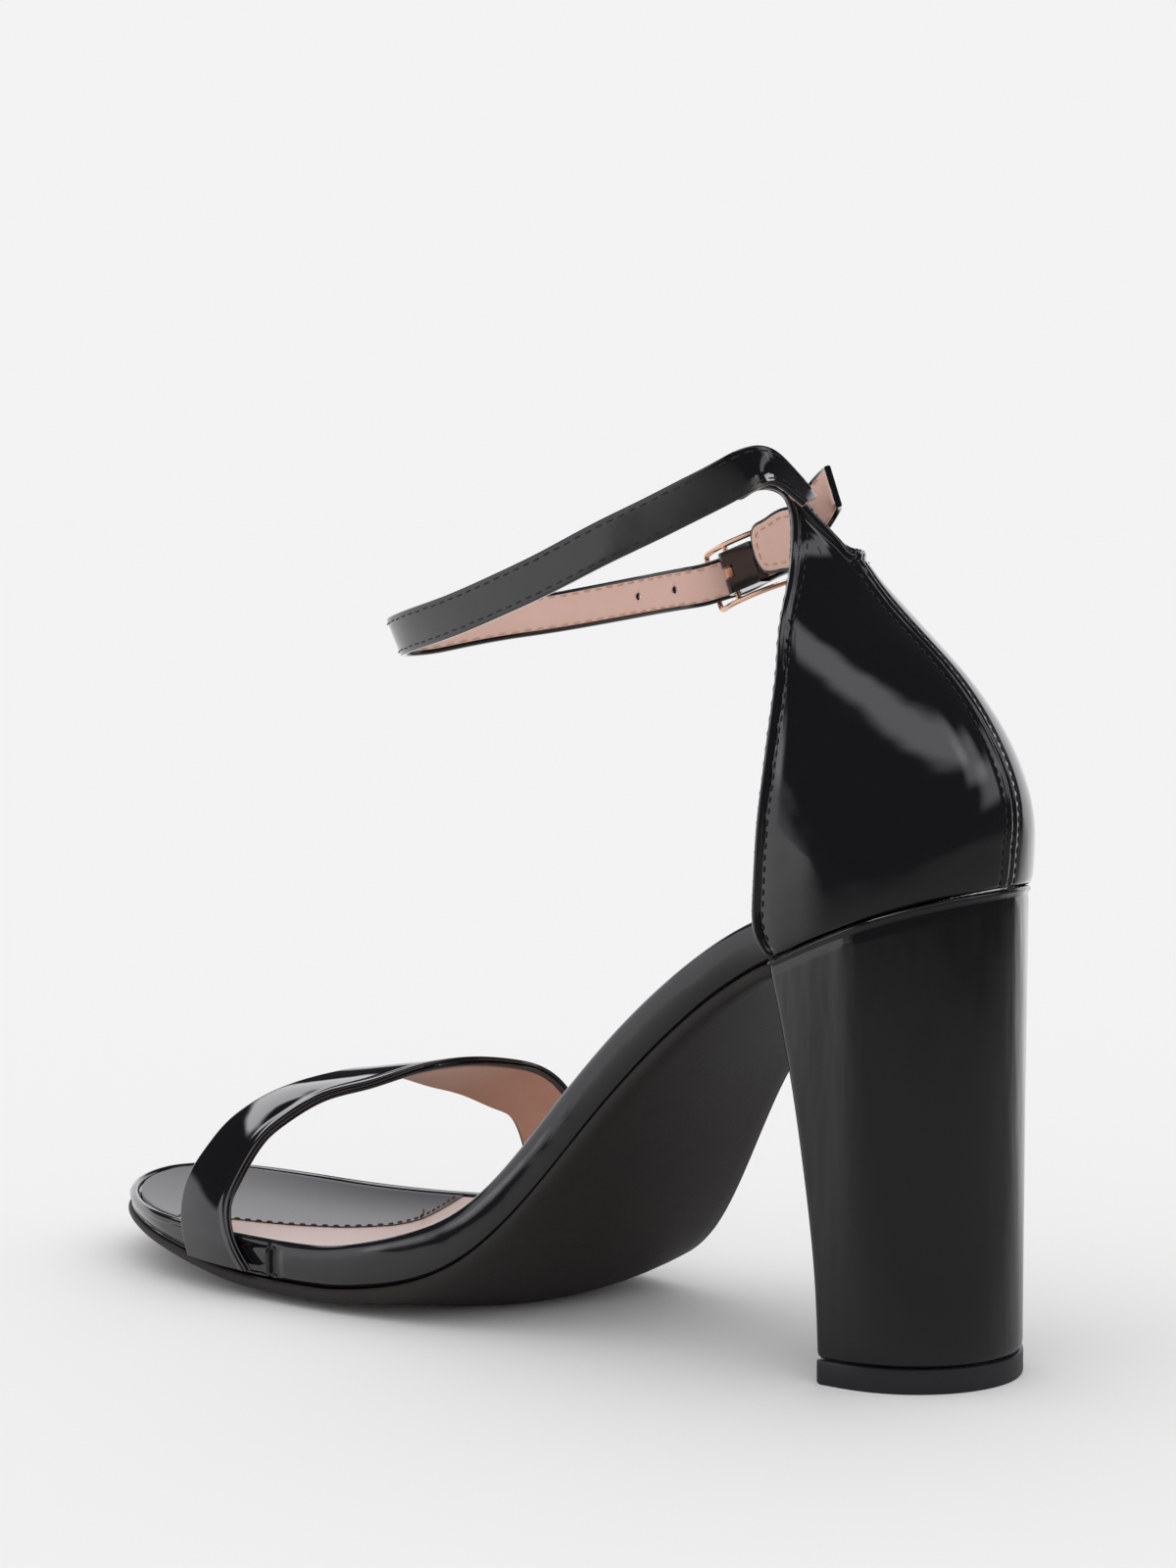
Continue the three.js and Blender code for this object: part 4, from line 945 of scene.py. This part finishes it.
def on_counter(side, x, z):
    """Points of the counter's outer surface at places in side view, and their outward directions."""
    low, high = np.zeros_like(x), np.full_like(x, TOP_LIFT)
    for _ in range(34):
        lift = (low + high) / 2
        height = counter_point(side, turn_at(side, x, lift), lift)[..., 2]
        low, high = np.where(height < z, lift, low), np.where(height < z, high, lift)
    turn = turn_at(side, x, lift)
    point = counter_point(side, turn, lift)
    step = 0.01
    round_way = counter_point(side, turn + step, lift) - counter_point(side, turn - step, lift)
    upper, lower = np.minimum(TOP_LIFT, lift + step), np.maximum(0, lift - step)
    up_way = counter_point(side, turn, upper) - counter_point(side, turn, lower)
    return point, unit(np.cross(up_way, round_way) * side)


def back_seam(count):
    """The seam up the middle of the back, from the lower edge to the top."""
    lifts = np.linspace(0, TOP_LIFT, 400)
    row = counter_at(lifts)
    x = along(row["back"])
    z = counter_point(1, np.zeros_like(lifts), lifts)[:, 2]
    top = above(COLLAR_BACK)
    keep = z < top
    x, z = np.r_[x[keep], np.interp(top, z, x)], np.r_[z[keep], top]
    return path_through(np.stack([x, z], -1)[::6].tolist() + [[x[-1], z[-1]]], count)


def cut_edge(side, count):
    """The cut edge of a quarter in side view, from the heel seat up and back to the seam."""
    cut = np.array(MEDIAL_CUT if side > 0 else LATERAL_CUT)
    line = np.stack([along(cut[:, 0]), above(cut[:, 1])], -1)
    foot = line[0, 0]
    start = np.array([foot, float(seat_line(foot, np.array(side * SEAT_EDGE_OUT))) + GAP])
    line = np.concatenate([[start], line[line[:, 1] > start[1] + 1.5]])
    return path_through(line, count)


def evenly(line, count, crowd=0.0):
    """A line's points again at even steps, or closer towards its end."""
    run = np.r_[0, np.cumsum(np.linalg.norm(np.diff(line, axis=0), axis=1))]
    share = np.linspace(0, 1, count)
    share = share + crowd * share * (1 - share)
    return np.stack([np.interp(share * run[-1], run, line[:, k]) for k in range(line.shape[1])], -1)


def quarter_grid(side):
    """Rows from the back seam, then from the collar, to the front edge, closing at the wing's tip."""
    body, wing = SEAM_GRID_ROWS, WING_GRID_ROWS
    seam, cut = back_seam(body), cut_edge(side, EDGE_SAMPLES)
    tip = int(np.argmax(cut[:, 0]))
    front, collar = cut[:tip + 1], cut[tip:][::-1]
    neck = int(np.argmin(np.linalg.norm(front - seam[-1], axis=-1)))
    left = np.concatenate([seam, evenly(collar, wing + 1, 0.8)[1:]])
    right = np.concatenate([evenly(front[:neck + 1], body), evenly(front[neck:], wing + 1, 0.8)[1:]])
    share = np.linspace(0, 1, GRID_COLUMNS)
    share = mix(share ** 2, 1 - (1 - share) ** 2, ease(share, 0.2, 0.8))
    plan = mix(left[:, None], right[:, None], share[None, :, None])
    return on_counter(side, plan[..., 0], plan[..., 1])


def distance_to(grid, line):
    """Distance of each point of a grid from a line of points."""
    return np.min(np.linalg.norm(grid[:, :, None] - line[None, None], axis=-1), axis=-1)


def inset_runs(side, distance):
    """The stretches of a line that keeps its distance inside the cut edge of a quarter."""
    cut = cut_edge(side, EDGE_SAMPLES)
    ahead = unit(np.gradient(cut, axis=0))
    line = cut + np.stack([-ahead[:, 1], ahead[:, 0]], -1) * distance
    clear = np.min(np.linalg.norm(line[:, None] - cut[None], axis=-1), axis=-1) > 0.97 * distance
    clear &= line[:, 1] > seat_line(line[:, 0], side * SEAT_EDGE_OUT + 0 * line[:, 0]) + GAP + distance
    starts = np.flatnonzero(np.diff(np.r_[0, clear, 0]))
    for first, last in starts.reshape(-1, 2):
        if last - first > 30:
            yield on_counter(side, line[first:last, 0], line[first:last, 1])


def quarter_relief(edge, seam):
    """How far the padded skin stands out, by its distances from the cut edge and the back seam."""
    binding = np.sqrt(np.maximum(0, 1 - ((edge - BINDING_RADIUS) / BINDING_RADIUS) ** 2))
    trough = soft(edge, *BINDING_TROUGH) + soft(edge, *BINDING_FOOT)
    joint = soft(seam, *SEAM_RIDGE) - soft(seam, *SEAM_TROUGH) - soft(seam, *SEAM_VALLEY)
    return BINDING_HEIGHT * binding - trough + joint * np.minimum(1, edge / 3) - soft(edge, *EDGE_ROLL)


def build_counter():
    """Two quarters of padded patent with a rolled edge, joined up the back, and their linings."""
    for side, name in ((1, "medial"), (-1, "lateral")):
        grid, away = quarter_grid(side)
        cut = cut_edge(side, EDGE_SAMPLES // 2)
        edge = distance_to(grid, on_counter(side, cut[:, 0], cut[:, 1])[0])
        seam = distance_to(grid, grid[:SEAM_GRID_ROWS, 0])
        outer = grid + away * quarter_relief(edge, seam)[..., None]
        skin = COUNTER_SKIN - soft(edge, 0, 0.5, COUNTER_EDGE_THINNING)
        inner = grid - away * skin[..., None]
        make_piece(f"counter_{name}", *stacked([outer, inner]), PATENT, node="counter" if side > 0 else None,
                   slot="patent", weld=True, crease=60)
        depth = mix(-LINING_TUCK, LINING_DEPTH, ease(edge, LINING_BORDER, LINING_BORDER + 0.4))
        lining = stacked([inner + away * LINING_OVERLAP, inner - away * depth[..., None]])
        make_piece(f"counter_lining_{name}", *lining, LINING, slot="lining", weld=True)
        rows = [stitch_row(path - lift * STITCH_BITE, lift, *EDGE_STITCH)
                for path, lift in inset_runs(side, EDGE_STITCH_INSET)]
        make_piece(f"counter_edge_stitches_{name}", *joined(rows), BLACK_THREAD, slot="patent")
        rows = [stitch_row(path - lift * (COUNTER_SKIN + LINING_DEPTH), -lift, *EDGE_STITCH)
                for path, lift in inset_runs(side, LINING_STITCH_INSET)]
        make_piece(f"counter_lining_stitches_{name}", *joined(rows), BEIGE_THREAD, slot="lining")
        path = np.array([[np.interp(SEAM_STITCH_INSET, far, row[:, k]) for k in range(3)]
                         for row, far in zip(grid[:SEAM_STITCH_ROWS], seam[:SEAM_STITCH_ROWS])])
        lift = away_at(grid, away, path)
        thread = stitch_row(path - lift * STITCH_BITE, lift, *SEAM_STITCH)
        make_piece(f"counter_seam_stitches_{name}", *thread, BLACK_THREAD, slot="patent")


def away_at(grid, away, path):
    """Outward directions of a grid at the points of a path."""
    flat, normals = grid.reshape(-1, 3), away.reshape(-1, 3)
    return np.array([normals[np.argmin(((flat - p) ** 2).sum(-1))] for p in path])


# Vamp strap

def vamp_grid():
    """The strap's middle sheet, with its outward directions, in rows from end to end."""
    data = np.array(VAMP_ROWS[1], float)
    rear = np.stack([along(data[:, 1]), across(data[:, 2]), above(data[:, 3])], -1)
    fore = np.stack([along(data[:, 4]), across(data[:, 5]), above(data[:, 6])], -1)
    run = np.linspace(0, len(data) - 1, 160)
    rear, fore = smooth_curve(data[:, 0], rear)(run), smooth_curve(data[:, 0], fore)(run)
    share = np.sin(np.linspace(-np.pi / 2, np.pi / 2, 31)) / 2 + 0.5
    grid = mix(rear[:, None], fore[:, None], share[None, :, None])
    away = grid_normals(grid)
    away *= np.sign(((grid - grid.reshape(-1, 3).mean(0)) * away).sum(-1).mean())
    return grid, away, share, np.linalg.norm(fore - rear, axis=-1)[:, None]


def rounded(distance, radius):
    """How far a rounded edge falls back at a distance from its rim."""
    return radius - np.sqrt(np.maximum(0, radius ** 2 - np.maximum(0, radius - distance) ** 2))


def resampled(rows, share, wanted):
    """Rows of a grid read again at other shares of their width."""
    return np.stack([np.stack([np.interp(row, share, line[:, k]) for k in range(3)], -1)
                     for row, line in zip(wanted, rows)])


def build_vamp_strap():
    """Folded patent over a backing, which shows as two rolls along the rear edge, and a lining."""
    grid, away, share, width = vamp_grid()
    from_rear, from_fore = width * share, width * (1 - share)
    fold, fore_fold, backing_fold, backing_fore_fold = 0.62, 0.5, 0.5, 0.4
    crown = 0.5 * np.sin(np.pi * share)[None] + soft(from_rear, *VAMP_REAR_ROLL)
    top = crown + 0.25 - rounded(from_rear, fold) - rounded(from_fore, fore_fold)
    low = np.full_like(top, -0.5) + rounded(from_rear, fold)
    make_piece("vamp_strap_patent", *layer(grid, away, top, low), STRAP_PATENT, node="vamp_strap",
               slot="patent", weld=True, crease=70)
    top = -0.62 - rounded(from_rear, backing_fold) - rounded(from_fore + 0.1, backing_fore_fold)
    low = -1.45 + 0.25 * share[None] + rounded(from_rear, backing_fold)
    make_piece("vamp_strap_backing", *layer(grid, away, top, low), STRAP_PATENT, slot="patent",
               weld=True, crease=70)
    wanted = mix(1.3 / width, 1 - 0.7 / width, np.linspace(0, 1, 21))
    place, turn = resampled(grid, share, wanted), resampled(away, share, wanted)
    lining = stacked([place - turn * 1.3, place - turn * 1.75])
    # The lining's darker colour is painted shade, not a different leather
    make_piece("vamp_strap_lining", *lining, SHADED_VAMP_LINING, slot="lining", weld=True)


# Ankle strap

def strap_frames(count=420):
    """Even points of the strap, the directions across its width and its thickness, and its length."""
    data = np.array(STRAP_ROWS[1], float)
    points = np.stack([along(data[:, 0]), across(data[:, 1]), above(data[:, 2]), data[:, 3]], -1)
    chord = np.r_[0, np.cumsum(np.sqrt(np.linalg.norm(np.diff(points[:, :3], axis=0), axis=1)))]
    fine = smooth_curve(chord, points)(np.linspace(0, chord[-1], 3000))
    run = np.r_[0, np.cumsum(np.linalg.norm(np.diff(fine[:, :3], axis=0), axis=1))]
    even = np.linspace(0, run[-1], count)
    place = np.stack([np.interp(even, run, fine[:, k]) for k in range(4)], -1)
    point, lean = place[:, :3], np.radians(place[:, 3])[:, None]
    tangent = unit(np.gradient(point, axis=0))
    up = np.array([0, 0, 1.0]) - tangent * tangent[:, 2:]
    up = unit(up)
    out = np.cross(tangent, up)
    wide = up * np.cos(lean) + out * np.sin(lean)
    thin = out * np.cos(lean) - up * np.sin(lean)
    return point, wide, thin, even


def strap_profile(half, low, high, soft, steps=4):
    """A flat band's section with rounded edges, as pairs of width and depth."""
    corner = np.linspace(0, np.pi / 2, steps + 1)
    shape = []
    for sign_w, sign_d, turn in ((1, 1, 0), (-1, 1, 1), (-1, -1, 2), (1, -1, 3)):
        angles = corner + turn * np.pi / 2
        cw = sign_w * (half - soft)
        cd = (high - soft) if sign_d > 0 else (low + soft)
        shape += [(cw + soft * math.cos(a), cd + soft * math.sin(a)) for a in angles]
        if sign_w == 1 and sign_d == 1:
            shape += [(cw * t, high) for t in (0.6, 0.2, -0.2, -0.6)]
        if sign_w == -1 and sign_d == -1:
            shape += [(cw * t, low) for t in (0.6, 0.2, -0.2, -0.6)]
    return shape


def strap_body(point, wide, thin, profile):
    rings = [point + wide * w + thin * d for w, d in profile]
    return swept(np.stack(rings, 1))


def punch_holes(pieces, point, wide, thin, run):
    """Round holes through the strap's layers on the stretch that passes the buckle."""
    near_buckle = run < run[-1] * 0.4
    pins = []
    for at in HOLE_SHARES:
        i = int(np.argmin(np.where(near_buckle, np.abs(point[:, 0] - along(at)), 1e9)))
        reach = thin[i] * 3
        pins.append(tube([point[i] - reach, point[i] + reach], HOLE_RADIUS, 20, up=wide[i]))
    punch = make_piece("hole_punch", *joined(pins), LINING)
    for piece in pieces:
        cut = piece.modifiers.new("holes", "BOOLEAN")
        cut.operation, cut.object, cut.solver = "DIFFERENCE", punch, "EXACT"
        graph = bpy.context.evaluated_depsgraph_get()
        done = bpy.data.meshes.new_from_object(piece.evaluated_get(graph))
        piece.modifiers.clear()
        piece.data = done
    bpy.data.objects.remove(punch)


def build_ankle_strap():
    """A patent band with a lining set in from its edges, its holes, and stitches along both edges."""
    point, wide, thin, run = strap_frames()
    half, deep = STRAP_WIDTH / 2, STRAP_THICKNESS / 2
    outer = strap_body(point, wide, thin, strap_profile(half, -deep + 0.25, deep, 0.42))
    inner_profile = strap_profile(half - STRAP_LINING_INSET, -deep, -deep + STRAP_LINING_THICKNESS, 0.12)
    lining = strap_body(point, wide, thin, inner_profile)
    band = make_piece("ankle_strap_patent", *outer, STRAP_PATENT, node="ankle_strap", slot="patent",
                      crease=60)
    liner = make_piece("ankle_strap_lining", *lining, LINING, slot="lining", crease=60)
    punch_holes([band, liner], point, wide, thin, run)
    sewn = slice(6, -2)
    for edge, label in ((1, "upper"), (-1, "lower")):
        line = point + wide * edge * (half - STRAP_STITCH_INSET)
        outside = stitch_row((line + thin * deep)[sewn], thin[sewn], *STRAP_STITCH)
        make_piece(f"ankle_strap_{label}_stitches", *outside, BLACK_THREAD, slot="patent")
        inside = stitch_row((line - thin * deep)[sewn], -thin[sewn], *STRAP_STITCH)
        make_piece(f"ankle_strap_lining_{label}_stitches", *inside, BEIGE_THREAD, slot="lining")


# Buckle

def buckle_places():
    """From places on the buckle (back along it, up its height, out of it) to places on the shoe."""
    turn = math.radians(BUCKLE_RISE)
    back = np.array([-math.cos(turn), 0, math.sin(turn)])
    out = np.array([0, -1.0, 0])
    tall = np.cross(out, back)
    origin = np.array([float(along(BUCKLE_AT)), float(across(BUCKLE_OUT)), float(above(BUCKLE_UP))])
    return lambda p: origin + np.asarray(p) @ np.stack([back, tall, out])


def frame_outline(half_length, half_height):
    """The frame's middle line laid flat: straight sides between four rounded corners."""
    turn = np.linspace(0, np.pi / 2, 8)
    cx, cy = half_length - BUCKLE_CORNER, half_height - BUCKLE_CORNER
    corners = ((1, 1), (-1, 1), (-1, -1), (1, -1))
    outline = []
    for k, (sx, sy) in enumerate(corners):
        nx, ny = corners[(k + 1) % 4]
        outline += [(sx * cx + BUCKLE_CORNER * math.cos(a + k * np.pi / 2),
                     sy * cy + BUCKLE_CORNER * math.sin(a + k * np.pi / 2)) for a in turn]
        if sy == ny:
            outline += [(x, sy * half_height) for x in np.linspace(sx * cx, nx * cx, 26)[1:-1]]
        else:
            outline += [(sx * half_length, y) for y in np.linspace(sy * cy, ny * cy, 10)[1:-1]]
    return np.array(outline)


def build_buckle():
    """A bowed wire frame with the bar that its tongue hangs on."""
    place = buckle_places()
    half_length, half_height = BUCKLE_LENGTH / 2 - WIRE_RADIUS, BUCKLE_HEIGHT / 2 - WIRE_RADIUS
    outline = frame_outline(half_length, half_height)
    bow = BUCKLE_BOW * (outline[:, 0] / half_length) ** 2
    out = place((0, 0, 1)) - place((0, 0, 0))
    ring = tube(place(np.c_[outline, bow]), WIRE_RADIUS, 14, closed=True, up=out)
    level = BUCKLE_BOW * (BUCKLE_BAR / half_length) ** 2
    bar_line = np.array([(BUCKLE_BAR, y, level) for y in np.linspace(-half_height, half_height, 12)])
    bar = tube(place(bar_line), BAR_RADIUS, 14, up=(0, 1, 0))
    make_piece("buckle_frame_wire", *joined([ring, bar]), ROSE_GOLD, node="buckle_frame", slot="gold",
               turn_out=False)


def finish_plain_nodes():
    """The buckle's tongue and the keeper loop show the CAD's own solids."""
    for node, finish in (("buckle_tongue", ROSE_GOLD), ("buckle_loop", STRAP_PATENT)):
        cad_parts[node].data.materials.clear()
        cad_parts[node].data.materials.append(finish)


# Studio
def build_floor():
    """Pale paper. In the gloss of the shoe it is dark on the camera's side and pale beyond the toe."""
    mesh = bpy.data.meshes.new("studio_floor")
    corners = [(x * FLOOR_REACH, y * FLOOR_REACH, 0) for x, y in ((-1, -1), (1, -1), (1, 1), (-1, 1))]
    mesh.from_pydata(corners, [], [(0, 1, 2, 3)])
    paper = Finish("pale paper floor", Roughness=0.9, **{"Specular IOR Level": 0.0})
    reach = paper.add("ShaderNodeVectorMath", {"operation": "LENGTH"})
    paper.tree.links.new(paper.place, reach.inputs[0])
    pale = paper.ramp(paper.towards(PALE_SIDE), -0.1, 0.25, 0.0, 1.0)
    dark = paper.ramp(reach.outputs["Value"], 0.25, 1.0, 0.22, 0.05)
    seen = paper.add("ShaderNodeMix", {"data_type": "FLOAT"}, Factor=pale, A=dark, B=0.9)
    tone = paper.add("ShaderNodeMix", {"data_type": "FLOAT"}, A=BACKGROUND, B=seen.outputs[0],
                     Factor=paper.add("ShaderNodeLightPath").outputs["Is Glossy Ray"])
    paper.feed(Base_Color=tone.outputs[0])
    mesh.materials.append(paper.material)
    plane = bpy.data.objects.new("studio_floor", mesh)
    bpy.context.scene.collection.objects.link(plane)


class Room(Finish):
    """The surroundings: one tone for the camera, one for matt surfaces, a pattern for the gloss."""

    def __init__(self, world):
        self.tree = world.node_tree
        self.tree.nodes.clear()
        self.place = self.add("ShaderNodeTexCoord").outputs["Generated"]

    def panel(self, rise, azimuth, spread, low, high, blur, brightness):
        """A soft-edged panel, by its middle and half width round the shoe, its lower and upper
        elevation and the blur of its edges in degrees, and its brightness."""
        turn = math.radians(azimuth)
        facing = self.towards((math.cos(turn), math.sin(turn), 0))
        square = self.maths("MULTIPLY_ADD", self.maths("MULTIPLY", rise, rise), -1.0, 1.0)
        level = self.maths("ADD", self.maths("SQRT", square), 0.001)
        beside = self.maths("DIVIDE", facing, level)
        outer, inner = (math.cos(math.radians(min(180, max(0, spread + way * blur)))) for way in (1, -1))
        within = self.ramp(beside, outer, inner, 0.0, brightness)
        floor, top = ([math.sin(math.radians(at + way * blur / 2)) for way in (-1, 1)] for at in (low, high))
        inside = self.maths("MULTIPLY", self.ramp(rise, *floor, 0.0, 1.0), self.ramp(rise, *top, 1.0, 0.0))
        return self.maths("MULTIPLY", within, inside)

    def gloss_pattern(self):
        """Dark on the camera's side, pale low down beyond the toe, and the panels."""
        rise = self.add("ShaderNodeSeparateXYZ", Vector=self.place).outputs["Z"]
        beyond = self.ramp(self.towards(PALE_SIDE), -0.02, 0.16, 0.0, 1.0)
        low = self.ramp(rise, 0.34, 0.43, 1.0, 0.0)
        tone = self.maths("MULTIPLY_ADD", self.maths("MULTIPLY", beyond, low), 0.9, 0.045)
        for panel in SOFT_PANELS:
            tone = self.maths("ADD", tone, self.panel(rise, *panel))
        return tone

    def light(self, colour, strength=1.0):
        node = self.add("ShaderNodeBackground", Color=(*colour, 1), Strength=strength)
        return node.outputs[0]

    def choice(self, factor, first, second):
        node = self.add("ShaderNodeMixShader")
        self.put(node, {0: factor, 1: first, 2: second})
        return node.outputs[0]

    def build(self):
        rays = self.add("ShaderNodeLightPath").outputs
        gloss = self.light((0.97, 0.97, 1.0), self.gloss_pattern())
        felt = self.choice(rays["Is Glossy Ray"], self.light((1.0, 1.0, 1.0)), gloss)
        seen = self.light((BACKGROUND, BACKGROUND, BACKGROUND))
        self.add("ShaderNodeOutputWorld", Surface=self.choice(rays["Is Camera Ray"], felt, seen))


def build_room():
    world = bpy.data.worlds.new("pale studio")
    bpy.context.scene.world = world
    world.use_nodes = True
    Room(world).build()


def build_lamp():
    """A small lamp behind the toe that only shows in the gloss."""
    light = bpy.data.lights.new("strip behind the toe", "AREA")
    light.shape, light.size, light.size_y = "RECTANGLE", LAMP_WIDTH, LAMP_HEIGHT
    light.energy = LAMP_RADIANCE * math.pi * LAMP_WIDTH * LAMP_HEIGHT
    turn, rise = math.radians(LAMP_AZIMUTH), math.radians(LAMP_ELEVATION)
    way = Vector((math.cos(turn) * math.cos(rise), math.sin(turn) * math.cos(rise), math.sin(rise)))
    lamp = bpy.data.objects.new("strip behind the toe", light)
    lamp.location = way * LAMP_DISTANCE + Vector(LAMP_AIM)
    lamp.rotation_mode = "QUATERNION"
    lamp.rotation_quaternion = (-way).to_track_quat("-Z", "Y")
    lamp.visible_diffuse = False
    bpy.context.scene.collection.objects.link(lamp)


def build_camera():
    camera = bpy.data.cameras.new("photo camera")
    camera.sensor_width, camera.lens = 36.0, CAMERA_LENS
    camera.clip_start, camera.clip_end = 0.01, 100
    eye = bpy.data.objects.new("photo camera", camera)
    turn = Matrix([CAMERA_RIGHT, CAMERA_UP, [-c for c in CAMERA_AHEAD]]).transposed()
    eye.matrix_world = Matrix.Translation(CAMERA_PLACE) @ turn.to_4x4()
    bpy.context.scene.collection.objects.link(eye)
    bpy.context.scene.camera = eye


build_camera()
build_floor()
build_room()
build_lamp()
build_sole()
build_sock()
build_heel()
build_counter()
build_vamp_strap()
build_ankle_strap()
build_buckle()
finish_plain_nodes()

bpy.context.scene.view_settings.view_transform = "Standard"
bpy.context.scene.view_settings.look = "None"
